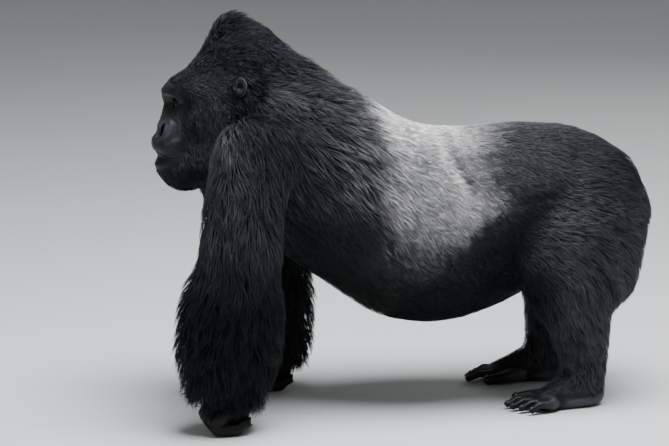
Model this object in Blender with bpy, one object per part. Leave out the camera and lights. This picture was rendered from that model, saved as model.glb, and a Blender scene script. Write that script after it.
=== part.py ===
"""A silverback mountain gorilla standing on its knuckles and soles, life size, as a still museum model.

Metres, +Z up. The animal faces -X, so its left side is towards -Y, and it stands on the plane z = 0.
Each region is built as overlapping masses of flesh and coat, fused by a Remesh modifier and then smoothed.
Limbs are let into the trunk, and the tubes of the body are parted with thin saw cuts.
The surface is the tip of the coat where there is hair, and the skin itself on the face, hands and feet.
"""

import math

import bmesh
import bpy
import numpy as np
from mathutils import Matrix, Vector

# Driving sizes
CROWN_HEIGHT = 1.085  # floor to the hair on the crest
BACK_HEIGHT = 0.758  # floor to the lowest part of the back
EYE_RADIUS = 0.0135
FINGER_RADIUS = 0.0185
FINGER_SPACING = 0.0395
TOE_RADIUS = 0.0130
TOE_SPACING = 0.0275
CUFF_HEIGHT = 0.084  # the long hair of the forearm ends here, over the hand
EAR_HEIGHT = 0.058

GAP = 0.0006  # width of the saw cuts and of the clearance round whatever is let in
SAW_THICKNESS = GAP

# Joints: x, outwards distance from the middle plane, z
LEFT, RIGHT = -1, 1  # sign of y
ARM = {
    LEFT: {"shoulder": (-0.270, 0.228, 0.705), "elbow": (-0.318, 0.290, 0.450), "wrist": (-0.335, 0.250, 0.150)},
    RIGHT: {"shoulder": (-0.245, 0.228, 0.705), "elbow": (-0.150, 0.285, 0.445), "wrist": (-0.118, 0.235, 0.150)},
}
LEG = {
    LEFT: {"hip": (0.680, 0.120, 0.555), "knee": (0.555, 0.195, 0.375), "ankle": (0.655, 0.170, 0.090)},
    RIGHT: {"hip": (0.690, 0.120, 0.555), "knee": (0.640, 0.180, 0.370), "ankle": (0.635, 0.155, 0.090)},
}
SIDE_NAME = {LEFT: "left", RIGHT: "right"}
FOOT_TURNED_OUT = math.radians(9)

# Lines of the trunk, each a few (x, value) knots that a smooth curve runs through
BACK_LINE = ((-0.34, 0.70), (-0.20, 0.850), (-0.08, 0.925), (0.08, 0.848), (0.22, 0.768), (0.34, BACK_HEIGHT - 0.004),
             (0.56, BACK_HEIGHT + 0.002), (0.70, 0.738), (0.80, 0.670), (0.85, 0.590))
BELLY_LINE = ((-0.34, 0.575), (-0.22, 0.470), (-0.06, 0.352), (0.08, 0.258), (0.22, 0.222), (0.36, 0.236),
              (0.50, 0.290), (0.64, 0.385), (0.78, 0.440), (0.85, 0.480))
WIDTH_LINE = ((-0.34, 0.09), (-0.27, 0.165), (-0.12, 0.232), (0.10, 0.272), (0.28, 0.282), (0.44, 0.250),
              (0.62, 0.215), (0.76, 0.165), (0.85, 0.070))
RIB_STEP = 0.035
RIB_POINTS = 32
WIDEST_SHARE = 0.52  # height of a rib's widest point, as a share of its depth

# Finish of each slot: colour, roughness
FINISHES = {
    "black_fur": ((0.018, 0.018, 0.021), 0.75),
    "silver_fur": ((0.30, 0.30, 0.29), 0.75),
    "dark_skin": ((0.030, 0.027, 0.027), 0.5),
    "eye": ((0.06, 0.025, 0.01), 0.15),
}


# ---- Small tools ----------------------------------------------------------------------------------------------


def clear_scene():
    for thing in list(bpy.data.objects):
        bpy.data.objects.remove(thing, do_unlink=True)


def finish(name):
    """The material of one slot, made once."""
    if name in bpy.data.materials:
        return bpy.data.materials[name]
    material = bpy.data.materials.new(name)
    material.use_nodes = True
    shader = material.node_tree.nodes["Principled BSDF"]
    colour, roughness = FINISHES[name]
    shader.inputs["Base Color"].default_value = (*colour, 1.0)
    shader.inputs["Roughness"].default_value = roughness
    shader.inputs["Metallic"].default_value = 0.0
    return material


def place(joint, side):
    """A joint's (x, outwards, z) as a point on that side of the body."""
    x, outwards, z = joint
    return Vector((x, side * outwards, z))


def object_from(bm, name, slot="black_fur"):
    mesh = bpy.data.meshes.new(name)
    bm.to_mesh(mesh)
    bm.free()
    made = bpy.data.objects.new(name, mesh)
    bpy.context.scene.collection.objects.link(made)
    made.data.materials.append(finish(slot))
    return made


def settle(thing):
    """Makes the shape that the modifiers show the object's own mesh."""
    graph = bpy.context.evaluated_depsgraph_get()
    mesh = bpy.data.meshes.new_from_object(thing.evaluated_get(graph))
    thing.modifiers.clear()
    thing.data = mesh
    return thing


def discard(*things):
    for thing in things:
        bpy.data.objects.remove(thing, do_unlink=True)


# ---- Masses of flesh and coat ---------------------------------------------------------------------------------


def ball(bm, centre, radii, pitch=0.0, yaw=0.0):
    """An ellipsoid. Pitch, in degrees, lowers its -x end, and yaw turns it about z."""
    turn = Matrix.Rotation(math.radians(yaw), 4, "Z") @ Matrix.Rotation(-math.radians(pitch), 4, "Y")
    matrix = Matrix.Translation(centre) @ turn @ Matrix.Diagonal((*radii, 1.0))
    bmesh.ops.create_icosphere(bm, subdivisions=4, radius=1.0, matrix=matrix)


def paired_balls(bm, centre, radii, pitch=0.0, yaw=0.0):
    x, outwards, z = centre
    for side in (LEFT, RIGHT):
        ball(bm, (x, side * outwards, z), radii, pitch, side * yaw)


def taper(bm, start, end, start_radius, end_radius, flat=1.0):
    """A round-ended tapering limb from start to end. Flat scales its thickness across the body."""
    start, end = Vector(start), Vector(end)
    along = (end - start).normalized()
    across = Vector((0, 1, 0))
    across = (across - along * across.dot(along)).normalized()
    frame = Matrix((across.cross(along), across, along)).transposed().to_4x4()
    squash = Matrix.Diagonal((1.0, flat, 1.0, 1.0))
    for centre, radius in ((start, start_radius), (end, end_radius)):
        matrix = Matrix.Translation(centre) @ frame @ squash @ Matrix.Scale(radius, 4)
        bmesh.ops.create_icosphere(bm, subdivisions=4, radius=1.0, matrix=matrix)
    bmesh.ops.create_cone(
        bm, cap_ends=True, segments=48, radius1=start_radius, radius2=end_radius, depth=(end - start).length,
        matrix=Matrix.Translation((start + end) / 2) @ frame @ squash,
    )


def chain(bm, points, radii, flat=1.0):
    """Tapers joined end to end, as along a finger."""
    for k in range(len(points) - 1):
        taper(bm, points[k], points[k + 1], radii[k], radii[k + 1], flat)


def fuse(bm, name, grain, smoothing, triangles, slot="black_fur", plain=None):
    """Fuses overlapping masses into one closed skin of about that many triangles. Where plain(point) is true the
    form is simple, and is thinned out first."""
    made = object_from(bm, name, slot)
    remesh = made.modifiers.new("fuse", "REMESH")
    remesh.mode = "VOXEL"
    remesh.voxel_size = grain
    soften = made.modifiers.new("soften", "SMOOTH")
    soften.factor = 0.5
    soften.iterations = smoothing
    settle(made)
    if plain:
        group = made.vertex_groups.new(name="plain")
        group.add([v.index for v in made.data.vertices if plain(v.co)], 1.0, "ADD")
        thin = made.modifiers.new("thin plain parts", "DECIMATE")
        thin.vertex_group = group.name
        thin.vertex_group_factor = 10.0
        thin.ratio = 0.35
        thin.use_collapse_triangulate = True
        settle(made)
        made.vertex_groups.clear()
    made.data.calc_loop_triangles()
    thin = made.modifiers.new("thin", "DECIMATE")
    thin.ratio = min(1.0, triangles / len(made.data.loop_triangles))
    thin.use_collapse_triangulate = True
    return settle(made)


# ---- Cutting --------------------------------------------------------------------------------------------------


def boolean(target, tool, operation="DIFFERENCE"):
    cut = target.modifiers.new("cut", "BOOLEAN")
    cut.operation = operation
    cut.solver = "EXACT"
    cut.object = tool
    return settle(target)


def loose_pieces(mesh):
    """The separate bodies of a mesh, each as a BMesh, without the crumbs that a cut can leave."""
    bm = bmesh.new()
    bm.from_mesh(mesh)
    unseen = set(bm.verts)
    pieces = []
    while unseen:
        front = [unseen.pop()]
        found = list(front)
        while front:
            for edge in front.pop().link_edges:
                for vert in edge.verts:
                    if vert in unseen:
                        unseen.remove(vert)
                        front.append(vert)
                        found.append(vert)
        pieces.append({vert.index for vert in found})
    made = []
    for kept in sorted(pieces, key=len, reverse=True):
        if len(kept) < 0.03 * len(bm.verts):
            continue
        piece = bm.copy()
        piece.verts.ensure_lookup_table()
        bmesh.ops.delete(piece, geom=[v for k, v in enumerate(piece.verts) if k not in kept], context="VERTS")
        made.append(piece)
    bm.free()
    return made


def let_in(outer, inner):
    """Hollows outer out round inner, leaving a hair's clearance between the two."""
    swollen = inner.copy()
    swollen.data = inner.data.copy()
    bpy.context.scene.collection.objects.link(swollen)
    grow = swollen.modifiers.new("grow", "DISPLACE")
    grow.mid_level = 0.0
    grow.strength = GAP
    settle(swollen)
    boolean(outer, swollen)
    discard(swollen)
    pieces = loose_pieces(outer.data)
    pieces[0].to_mesh(outer.data)
    for piece in pieces:
        piece.free()


def saw(target, centre, facing, across, height):
    """Parts target with a thin rectangular blade, across by height, that faces that way."""
    facing = Vector(facing).normalized()
    sideways = Vector((0, 1, 0))
    if abs(facing.dot(sideways)) > 0.9:
        sideways = Vector((1, 0, 0))
    sideways = (sideways - facing * sideways.dot(facing)).normalized()
    frame = Matrix((sideways, facing.cross(sideways), facing)).transposed().to_4x4()
    bm = bmesh.new()
    size = Matrix.Diagonal((across, height, SAW_THICKNESS, 1.0))
    bmesh.ops.create_cube(bm, size=1.0, matrix=Matrix.Translation(centre) @ frame @ size)
    blade = object_from(bm, "blade")
    boolean(target, blade)
    discard(blade)


def part_into(whole, labels):
    """Makes an object of each loose piece, named after the label whose point is nearest to its middle."""
    whole.name = "whole"
    made = {}
    for bm in loose_pieces(whole.data):
        middle = sum((v.co for v in bm.verts), Vector()) / len(bm.verts)
        name = min(labels, key=lambda label: (Vector(labels[label]) - middle).length)
        if name in made:
            raise ValueError(f"two pieces lie nearest to {name}")
        made[name] = object_from(bm, name, whole.data.materials[0].name)
    discard(whole)
    return made


def trim(thing, through=(0, 0, 0), keep=(0, 0, 1)):
    """Cuts off what reaches behind a plane. On the floor this leaves a small flat to stand on."""
    bm = bmesh.new()
    bm.from_mesh(thing.data)
    geometry = bm.verts[:] + bm.edges[:] + bm.faces[:]
    bmesh.ops.bisect_plane(bm, geom=geometry, plane_co=through, plane_no=keep, clear_inner=True)
    edges = [e for e in bm.edges if e.is_boundary]
    bmesh.ops.holes_fill(bm, edges=edges, sides=0)
    bmesh.ops.recalc_face_normals(bm, faces=bm.faces[:])
    bm.to_mesh(thing.data)
    bm.free()


# ---- Trunk ----------------------------------------------------------------------------------------------------


def smooth_line(knots, x):
    """The height at x of the smooth curve through a line's knots."""
    xs, values = np.array(knots).T
    slopes = np.gradient(values, xs)
    k = int(np.clip(np.searchsorted(xs, x) - 1, 0, len(xs) - 2))
    width = xs[k + 1] - xs[k]
    t = (x - xs[k]) / width
    blend = np.array([2 * t**3 - 3 * t**2 + 1, t**3 - 2 * t**2 + t, 3 * t**2 - 2 * t**3, t**3 - t**2])
    return float(blend @ (values[k], slopes[k] * width, values[k + 1], slopes[k + 1] * width))


def trunk():
    """Rib cage, belly and pelvis as a hull of ribs, with the masses of muscle that break its line."""
    bm = bmesh.new()
    first, last = BACK_LINE[0][0], BACK_LINE[-1][0]
    stations = np.linspace(first, last, round((last - first) / RIB_STEP) + 1)
    rings = []
    for x in stations:
        top, bottom = smooth_line(BACK_LINE, x), smooth_line(BELLY_LINE, x)
        width = smooth_line(WIDTH_LINE, x)
        widest = bottom + WIDEST_SHARE * (top - bottom)
        ring = bmesh.ops.create_circle(bm, segments=RIB_POINTS, radius=1.0)["verts"]
        for vert in ring:
            sideways, upwards = vert.co.x, vert.co.y
            reach = (top - widest) if upwards > 0 else (widest - bottom)
            vert.co = (x, sideways * width, widest + upwards * reach)
        rings.append([e for e in bm.edges if e.verts[0] in ring and e.verts[1] in ring])
    for front, back in zip(rings, rings[1:]):
        bmesh.ops.bridge_loops(bm, edges=front + back)
    bmesh.ops.holes_fill(bm, edges=[e for e in bm.edges if e.is_boundary], sides=0)
    bmesh.ops.recalc_face_normals(bm, faces=bm.faces[:])
    # withers, trapezius, shoulder blades, breast and buttocks
    taper(bm, (-0.15, 0, 0.862), (0.10, 0, 0.745), 0.072, 0.062)
    paired_balls(bm, (-0.150, 0.105, 0.790), (0.140, 0.105, 0.105), pitch=-28)
    paired_balls(bm, (-0.055, 0.150, 0.690), (0.155, 0.110, 0.140), pitch=-25)
    paired_balls(bm, (-0.240, 0.090, 0.620), (0.120, 0.105, 0.110), pitch=20)
    paired_balls(bm, (0.690, 0.085, 0.590), (0.150, 0.105, 0.135), pitch=-15)
    return fuse(bm, "trunk", 0.013, 14, 590)


# ---- Limbs ----------------------------------------------------------------------------------------------------


def arm(side):
    """Upper arm and forearm in their long coat, parted at the elbow. The forearm ends in a cuff of hair."""
    joints = {name: place(joint, side) for name, joint in ARM[side].items()}
    shoulder, elbow, wrist = joints["shoulder"], joints["elbow"], joints["wrist"]
    bm = bmesh.new()
    ball(bm, shoulder + Vector((0.004, 0, 0.004)), (0.128, 0.108, 0.140), pitch=-22)
    ball(bm, shoulder + Vector((0.020, -side * 0.055, 0.010)), (0.120, 0.080, 0.105), pitch=-22)
    middle = shoulder.lerp(elbow, 0.45) + Vector((-0.012, 0, 0))
    chain(bm, (shoulder, middle, elbow), (0.118, 0.112, 0.112), flat=0.88)
    drop = Vector((-0.015, 0, 0))
    below = elbow.lerp(wrist, 0.36) + drop
    skirt = elbow.lerp(wrist, 0.76) + drop
    cuff = elbow.lerp(wrist, 1.04) + drop
    chain(bm, (elbow, below, skirt, cuff), (0.112, 0.144, 0.144, 0.122), flat=0.84)
    whole = fuse(bm, "arm", 0.011, 10, 310)
    saw(whole, elbow + Vector((0, 0, -0.015)), (wrist - shoulder), 0.5, 0.5)
    name = SIDE_NAME[side]
    made = part_into(whole, {
        f"upper_arm_{name}": shoulder.lerp(elbow, 0.5),
        f"forearm_{name}": elbow.lerp(wrist, 0.5),
    })
    trim(made[f"forearm_{name}"], (0, 0, CUFF_HEIGHT))
    return made


def leg(side):
    """Thigh and shank, parted at the knee. The coat hangs full behind both."""
    joints = {name: place(joint, side) for name, joint in LEG[side].items()}
    hip, knee, ankle = joints["hip"], joints["knee"], joints["ankle"]
    bm = bmesh.new()
    taper(bm, hip, knee, 0.158, 0.102, flat=0.80)
    front_of_thigh = hip.lerp(knee, 0.38) + Vector((-0.040, 0, 0.010))
    taper(bm, front_of_thigh, knee + Vector((0, 0, 0.020)), 0.136, 0.105, flat=0.78)
    fringe = knee.lerp(hip, 0.35) + Vector((0.108, 0, -0.080))
    taper(bm, hip + Vector((0.055, 0, -0.03)), fringe, 0.120, 0.098, flat=0.82)
    calf = knee.lerp(ankle, 0.42) + Vector((0.036, 0, 0))
    chain(bm, (knee, calf, ankle + Vector((0.006, 0, -0.005))), (0.102, 0.098, 0.066), flat=0.84)
    whole = fuse(bm, "leg", 0.011, 12, 300)
    trim(whole, (0, side * GAP, 0), (0, side, 0))
    saw(whole, knee + Vector((0, 0, -0.060)), (hip - knee) + (knee - ankle), 0.5, 0.5)
    name = SIDE_NAME[side]
    return part_into(whole, {
        f"thigh_{name}": hip.lerp(knee, 0.5) + Vector((0.05, 0, 0)),
        f"shank_{name}": knee.lerp(ankle, 0.65),
    })


def nail(bm, tip, towards, size):
    """A flat nail on the back of a finger or toe, joined to it."""
    towards = Vector(towards).normalized()
    ball(bm, Vector(tip) + towards * size * 0.86, (size * 0.62, size * 0.60, size * 0.45))


def digit(points, radii, name, triangles, nail_towards, nail_size):
    """A finger or toe of its own, with its nail on the back of the last bone."""
    bm = bmesh.new()
    chain(bm, points, radii)
    nail(bm, points[-1], nail_towards, nail_size)
    made = fuse(bm, name, 0.0032, 3, triangles, "dark_skin")
    trim(made)
    return made


def hand(side):
    """A fist on its knuckles: an upright palm, four fingers folded under it with their middle bones on the floor,
    and a short thumb on the inner side that stays off it."""
    wrist = place(ARM[side]["wrist"], side)
    base = Vector((wrist.x, wrist.y, 0))
    bm = bmesh.new()
    taper(bm, wrist, wrist + Vector((0.002, 0, -0.030)), 0.048, 0.054)
    ball(bm, base + Vector((0.010, 0, 0.100)), (0.056, 0.078, 0.052))
    ball(bm, base + Vector((-0.020, 0, 0.086)), (0.034, 0.081, 0.030))
    ball(bm, base + Vector((0.014, 0, 0.066)), (0.038, 0.066, 0.030))
    name = SIDE_NAME[side]
    palm = fuse(bm, f"hand_{name}", 0.005, 6, 120, "dark_skin")
    digits = []
    lengths = (0.90, 1.0, 1.0, 0.84)  # index, middle, ring and little finger, counted from the inner side
    for k, (length, finger) in enumerate(zip(lengths, ("index", "middle", "ring", "little"))):
        y = -side * FINGER_SPACING * (1.5 - k)
        points = [
            base + Vector((-0.018, y * 0.98, 0.066)),
            base + Vector((-0.026 - 0.040 * length, y, 0.040)),
            base + Vector((-0.050, y, 0.0165)),
            base + Vector((0.002, y, 0.0165)),
            base + Vector((0.030, y, 0.036)),
        ]
        radii = [FINGER_RADIUS * share for share in (0.98, 1.05, 1.0, 0.98, 0.86)]
        digits.append(digit(points, radii, f"{finger}_finger_{name}", 56, (0.5, 0, 0.7), FINGER_RADIUS * 0.8))
    inner = -side
    thumb = [
        base + Vector((0.010, inner * 0.060, 0.112)),
        base + Vector((-0.016, inner * 0.094, 0.086)),
        base + Vector((-0.032, inner * 0.100, 0.060)),
    ]
    digits.append(digit(thumb, (0.022, 0.0170, 0.0135), f"thumb_{name}", 56, (-0.6, inner * 0.3, 0.1), 0.0130))
    return palm, digits


def foot(side):
    """A flat foot: heel, broad sole, four toes and a stout big toe that stands off inwards."""
    ankle = place(LEG[side]["ankle"], side)
    base = Vector((ankle.x, ankle.y, 0))
    outwards = side
    turn = Matrix.Rotation(-side * FOOT_TURNED_OUT, 3, "Z")
    bm = bmesh.new()
    taper(bm, base + Vector((0.000, 0, 0.130)), base + Vector((0.000, 0, 0.072)), 0.043, 0.043)
    ball(bm, base + Vector((0.022, 0, 0.034)), (0.042, 0.037, 0.040))
    instep, ball_of_foot = base + Vector((-0.004, 0, 0.070)), base + Vector((-0.120, outwards * 0.006, 0.031))
    taper(bm, instep, ball_of_foot, 0.043, 0.027, flat=1.15)
    tread = base + Vector((-0.110, outwards * 0.008, 0.022))
    taper(bm, base + Vector((0.006, 0, 0.026)), tread, 0.032, 0.027, flat=1.35)
    ball(bm, base + Vector((-0.122, outwards * 0.010, 0.024)), (0.038, 0.058, 0.028))
    bmesh.ops.rotate(bm, cent=base, matrix=turn, verts=bm.verts[:])
    name = SIDE_NAME[side]
    sole = fuse(bm, f"foot_{name}", 0.0050, 6, 140, "dark_skin")
    trim(sole)
    digits = []

    def turned(point):
        return base + turn @ (Vector(point) - base)

    lengths = (0.98, 1.0, 0.90, 0.74)  # second to little toe, counted from the inner side
    nail_way = turn @ Vector((-0.55, 0, 0.62))
    for k, (share, toe) in enumerate(zip(lengths, ("second", "third", "fourth", "little"))):
        y = outwards * (TOE_SPACING * (k - 1.5) + 0.012)
        root = base + Vector((-0.138 + 0.004 * k, y, 0.024))
        bend = root + Vector((-0.046 * share, y * 0.10, 0.004))
        tip = bend + Vector((-0.030 * share, 0, -0.015))
        points = [turned(point) for point in (root, bend, tip)]
        radii = (TOE_RADIUS, TOE_RADIUS, TOE_RADIUS * 0.92)
        digits.append(digit(points, radii, f"{toe}_toe_{name}", 46, nail_way, TOE_RADIUS * 0.9))
    big = [
        base + Vector((-0.066, -outwards * 0.028, 0.026)),
        base + Vector((-0.122, -outwards * 0.070, 0.024)),
        base + Vector((-0.164, -outwards * 0.078, 0.018)),
    ]
    big = [turned(point) for point in big]
    digits.append(digit(big, (0.024, 0.0190, 0.0160), f"big_toe_{name}", 60, nail_way, 0.0155))
    return sole, digits


# ---- Head and neck --------------------------------------------------------------------------------------------

EYE = (-0.4285, 0.0365, 0.845)  # middle of the eyeball
EAR = (-0.283, 0.122, 0.893)


def head_and_neck():
    """High crest, heavy brow, short muzzle and deep jaw, with the neck that carries them."""
    bm = bmesh.new()
    ball(bm, (-0.290, 0, 0.880), (0.125, 0.108, 0.115))
    # the fatty crest, a keel from the brow over the crown, and the chewing muscles that rise to it
    crest = ((-0.385, 0, 0.893), (-0.335, 0, 0.944), (-0.283, 0, CROWN_HEIGHT - 0.054), (-0.220, 0, 0.985))
    chain(bm, crest, (0.046, 0.047, 0.052, 0.070))
    paired_balls(bm, (-0.272, 0.044, 0.938), (0.082, 0.060, 0.098), pitch=-16)
    # brow ridge
    ball(bm, (-0.438, 0, 0.864), (0.033, 0.030, 0.030))
    for side in (LEFT, RIGHT):
        ridge = ((-0.434, side * 0.010, 0.874), (-0.422, side * 0.050, 0.886), (-0.392, side * 0.086, 0.872))
        chain(bm, ridge, (0.032, 0.029, 0.027))
    paired_balls(bm, (-0.385, 0.040, 0.893), (0.052, 0.055, 0.036))
    # cheekbones, eyelids, nose and upper jaw
    paired_balls(bm, (-0.378, 0.070, 0.826), (0.050, 0.042, 0.044))
    paired_balls(bm, (-0.415, 0.037, 0.845), (0.0245, 0.028, 0.022))
    ball(bm, (-0.393, 0, 0.793), (0.064, 0.086, 0.085))
    taper(bm, (-0.440, 0, 0.850), (-0.450, 0, 0.795), 0.022, 0.028)
    paired_balls(bm, (-0.456, 0.026, 0.771), (0.027, 0.026, 0.027))
    ball(bm, (-0.466, 0, 0.777), (0.019, 0.020, 0.021))
    ball(bm, (-0.430, 0, 0.735), (0.070, 0.070, 0.044))
    # lower jaw, chin, throat and the full cheeks
    ball(bm, (-0.426, 0, 0.668), (0.066, 0.063, 0.047))
    ball(bm, (-0.406, 0, 0.648), (0.068, 0.066, 0.046))
    for side in (LEFT, RIGHT):
        taper(bm, (-0.405, side * 0.036, 0.672), (-0.300, side * 0.066, 0.735), 0.052, 0.074)
    paired_balls(bm, (-0.315, 0.070, 0.815), (0.090, 0.060, 0.115))
    ball(bm, (-0.310, 0, 0.690), (0.090, 0.090, 0.080))
    # neck and nape
    taper(bm, (-0.240, 0, 0.850), (-0.090, 0, 0.750), 0.130, 0.168, flat=1.0)
    taper(bm, (-0.215, 0, 0.965), (-0.050, 0, 0.843), 0.064, 0.078, flat=1.35)
    return fuse(bm, "head_and_neck", 0.0065, 8, 930, plain=lambda point: point.x > -0.30)


def part_head(whole):
    """Carves the face and parts the head from the neck behind the ears, and the jaw from the head."""
    for side in (LEFT, RIGHT):
        carve_face(whole, side)
    saw(whole, (-0.200, 0, 0.910), (0.94, 0, -0.34), 0.6, 0.9)
    made = part_into(whole, {"head": (-0.34, 0, 0.85), "neck": (-0.13, 0, 0.80)})
    jaw_from(made)
    return made


def carve_face(whole, side):
    """The eye's socket and the nostril."""
    hollows = (
        (place(EYE, side) + Vector((-0.016, side * 0.002, 0)), (0.020, 0.0185, 0.0105)),
        (place((-0.481, 0.0165, 0.772), side), (0.012, 0.0070, 0.0090)),
    )
    for centre, radii in hollows:
        bm = bmesh.new()
        ball(bm, centre, radii)
        hollow = object_from(bm, "hollow")
        thin = hollow.modifiers.new("thin", "DECIMATE")
        thin.ratio = 0.03
        settle(hollow)
        boolean(whole, hollow)
        discard(hollow)


def jaw_from(made):
    """Parts the lower jaw from the head along the mouth, up in front of the ear."""
    profile = ((-0.600, 0.699), (-0.440, 0.697), (-0.395, 0.706), (-0.325, 0.772), (-0.100, 0.772))
    bm = bmesh.new()
    rims = []
    for lift in (SAW_THICKNESS / 2, -SAW_THICKNESS / 2):
        rims.append([bm.verts.new((x, -0.3, z + lift)) for x, z in profile])
    outline = rims[0] + rims[1][::-1]
    face = bm.faces.new(outline)
    grown = bmesh.ops.extrude_face_region(bm, geom=[face])["geom"]
    bmesh.ops.translate(bm, verts=[v for v in grown if isinstance(v, bmesh.types.BMVert)], vec=(0, 0.6, 0))
    bmesh.ops.recalc_face_normals(bm, faces=bm.faces[:])
    blade = object_from(bm, "blade")
    head = boolean(made.pop("head"), blade)
    discard(blade)
    made.update(part_into(head, {"head": (-0.34, 0, 0.88), "lower_jaw": (-0.39, 0, 0.67)}))


def eye(side, head):
    """The eyeball, let into its socket."""
    bm = bmesh.new()
    bmesh.ops.create_icosphere(bm, subdivisions=2, radius=EYE_RADIUS, matrix=Matrix.Translation(place(EYE, side)))
    made = object_from(bm, f"eye_{SIDE_NAME[side]}", "eye")
    let_in(head, made)
    return made


def ear(side, head):
    """A small round ear, hollowed like a shell, its back edge standing off the head."""
    centre = place(EAR, side)
    bm = bmesh.new()
    ball(bm, centre, (0.0195, 0.0110, EAR_HEIGHT / 2), pitch=-8, yaw=-side * -22)
    ball(bm, centre + Vector((-0.006, -side * 0.010, 0)), (0.016, 0.016, 0.022))
    made = fuse(bm, f"ear_{SIDE_NAME[side]}", 0.0028, 3, 84, "dark_skin")
    bm = bmesh.new()
    ball(bm, centre + Vector((-0.004, side * 0.013, 0.003)), (0.0105, 0.0095, 0.0185), pitch=-8, yaw=-side * -22)
    shell = object_from(bm, "shell")
    thin = shell.modifiers.new("thin", "DECIMATE")
    thin.ratio = 0.02
    settle(shell)
    boolean(made, shell)
    discard(shell)
    let_in(made, head)
    return part_into(made, {f"ear_{SIDE_NAME[side]}": centre})


# ---- Assembly -------------------------------------------------------------------------------------------------


def centre_over_origin():
    """Moves everything so that the origin is on the floor, under the middle of the animal's box."""
    corners = np.array([v.co for thing in bpy.context.scene.objects for v in thing.data.vertices])
    middle = (corners.min(0) + corners.max(0)) / 2
    for thing in bpy.context.scene.objects:
        thing.data.transform(Matrix.Translation((-middle[0], -middle[1], 0)))


def main():
    clear_scene()
    body = trunk()
    front = head_and_neck()
    for side in (LEFT, RIGHT):
        name = SIDE_NAME[side]
        upper, lower = arm(side), leg(side)
        palm, fingers = hand(side)
        sole, toes = foot(side)
        let_in(upper[f"forearm_{name}"], palm)
        let_in(upper[f"forearm_{name}"], fingers[-1])
        let_in(lower[f"shank_{name}"], sole)
        for finger in fingers:
            let_in(finger, palm)
        for toe in toes:
            let_in(toe, sole)
        let_in(body, upper[f"upper_arm_{name}"])
        let_in(body, lower[f"thigh_{name}"])
        let_in(upper[f"upper_arm_{name}"], front)
    let_in(body, front)
    parts = part_head(front)
    for side in (LEFT, RIGHT):
        ear(side, parts["head"])
        eye(side, parts["head"])
    saw(body, (0.115, 0, 0.5), (1, 0, 0.12), 0.9, 0.9)
    saw(body, (0.520, 0, 0.5), (1, 0, -0.10), 0.9, 0.9)
    trunk_parts = part_into(body, {"chest": (-0.05, 0, 0.6), "loins": (0.31, 0, 0.5), "rump": (0.66, 0, 0.6)})
    trunk_parts["loins"].data.materials[0] = finish("silver_fur")
    centre_over_origin()


main()
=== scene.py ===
"""Silverback mountain gorilla, life size: one skin over the whole body, a coat of solid tufts, two eyes and
the nails. Lengths are in metres. The head points to -X, up is +Z, and the middle plane is at MIDDLE_Y."""
import math

import bmesh
import bpy
import numpy as np
from mathutils import Matrix, Vector
from mathutils.bvhtree import BVHTree
from mathutils.kdtree import KDTree


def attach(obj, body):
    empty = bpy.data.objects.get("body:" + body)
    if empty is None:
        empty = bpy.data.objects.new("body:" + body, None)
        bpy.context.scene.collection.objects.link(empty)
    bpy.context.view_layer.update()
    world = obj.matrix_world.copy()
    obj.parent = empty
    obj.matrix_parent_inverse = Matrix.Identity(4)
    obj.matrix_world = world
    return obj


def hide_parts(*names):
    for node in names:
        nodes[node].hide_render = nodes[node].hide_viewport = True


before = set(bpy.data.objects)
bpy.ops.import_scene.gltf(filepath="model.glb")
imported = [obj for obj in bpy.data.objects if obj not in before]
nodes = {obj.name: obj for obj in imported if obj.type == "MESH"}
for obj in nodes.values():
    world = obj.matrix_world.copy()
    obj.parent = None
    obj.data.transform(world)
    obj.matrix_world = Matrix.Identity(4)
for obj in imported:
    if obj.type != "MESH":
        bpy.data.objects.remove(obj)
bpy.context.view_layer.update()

# ---- Studio ---------------------------------------------------------
# A plain pale floor under soft light: one broad lamp overhead, like a bright overcast sky, and weak ones
# in front and behind. The camera stands on the animal's left, a little ahead of it, and looks slightly down.
CAMERA_TURN, CAMERA_TILT, CAMERA_DISTANCE = math.radians(-13), math.radians(10), 9.0
LOOKS_AT = Vector((-0.1826, 0.0039, 0.50))
VIEW_WIDTH = 1.806  # metres across the picture at the animal
SENSOR = 36.0  # width of the camera's sensor, mm


def linear(hex_colour):
    """An sRGB hex colour as linear red, green, blue and alpha."""
    parts = [int(hex_colour[k : k + 2], 16) / 255 for k in (1, 3, 5)]
    return tuple(c / 12.92 if c <= 0.04045 else ((c + 0.055) / 1.055) ** 2.4 for c in parts) + (1.0,)


def add_node(tree, kind, settings=None, **links):
    """Adds a node. Settings and links are named for what they set or feed. A link comes from an output."""
    made = tree.nodes.new("ShaderNode" + kind)
    for name, value in (settings or {}).items():
        if isinstance(name, int) or name in made.inputs:
            made.inputs[name].default_value = value
        else:
            setattr(made, name, value)
    for name, source in links.items():
        tree.links.new(source, made.inputs[int(name[1:]) if name[1:].isdigit() else name.replace("_", " ")])
    return made


def new_material(name):
    """A material with its surface shader, its output and its node tree."""
    made = bpy.data.materials.new(name)
    made.use_nodes = True
    made.node_tree.nodes.clear()
    shader = add_node(made.node_tree, "BsdfPrincipled")
    add_node(made.node_tree, "OutputMaterial", Surface=shader.outputs[0])
    return made, made.node_tree, shader


def show(data, name):
    """Puts a mesh, lamp or camera in the scene."""
    made = bpy.data.objects.new(name, data)
    bpy.context.scene.collection.objects.link(made)
    return made


level = math.cos(CAMERA_TILT)
away = Vector((math.sin(CAMERA_TURN) * level, -math.cos(CAMERA_TURN) * level, math.sin(CAMERA_TILT)))
camera = show(bpy.data.cameras.new("camera"), "camera")
camera.location = LOOKS_AT + away * CAMERA_DISTANCE
camera.rotation_euler = away.to_track_quat("Z", "Y").to_euler()
camera.data.sensor_width = SENSOR
camera.data.lens = SENSOR * CAMERA_DISTANCE / VIEW_WIDTH
camera.data.clip_end = 200
bpy.context.scene.camera = camera

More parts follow.
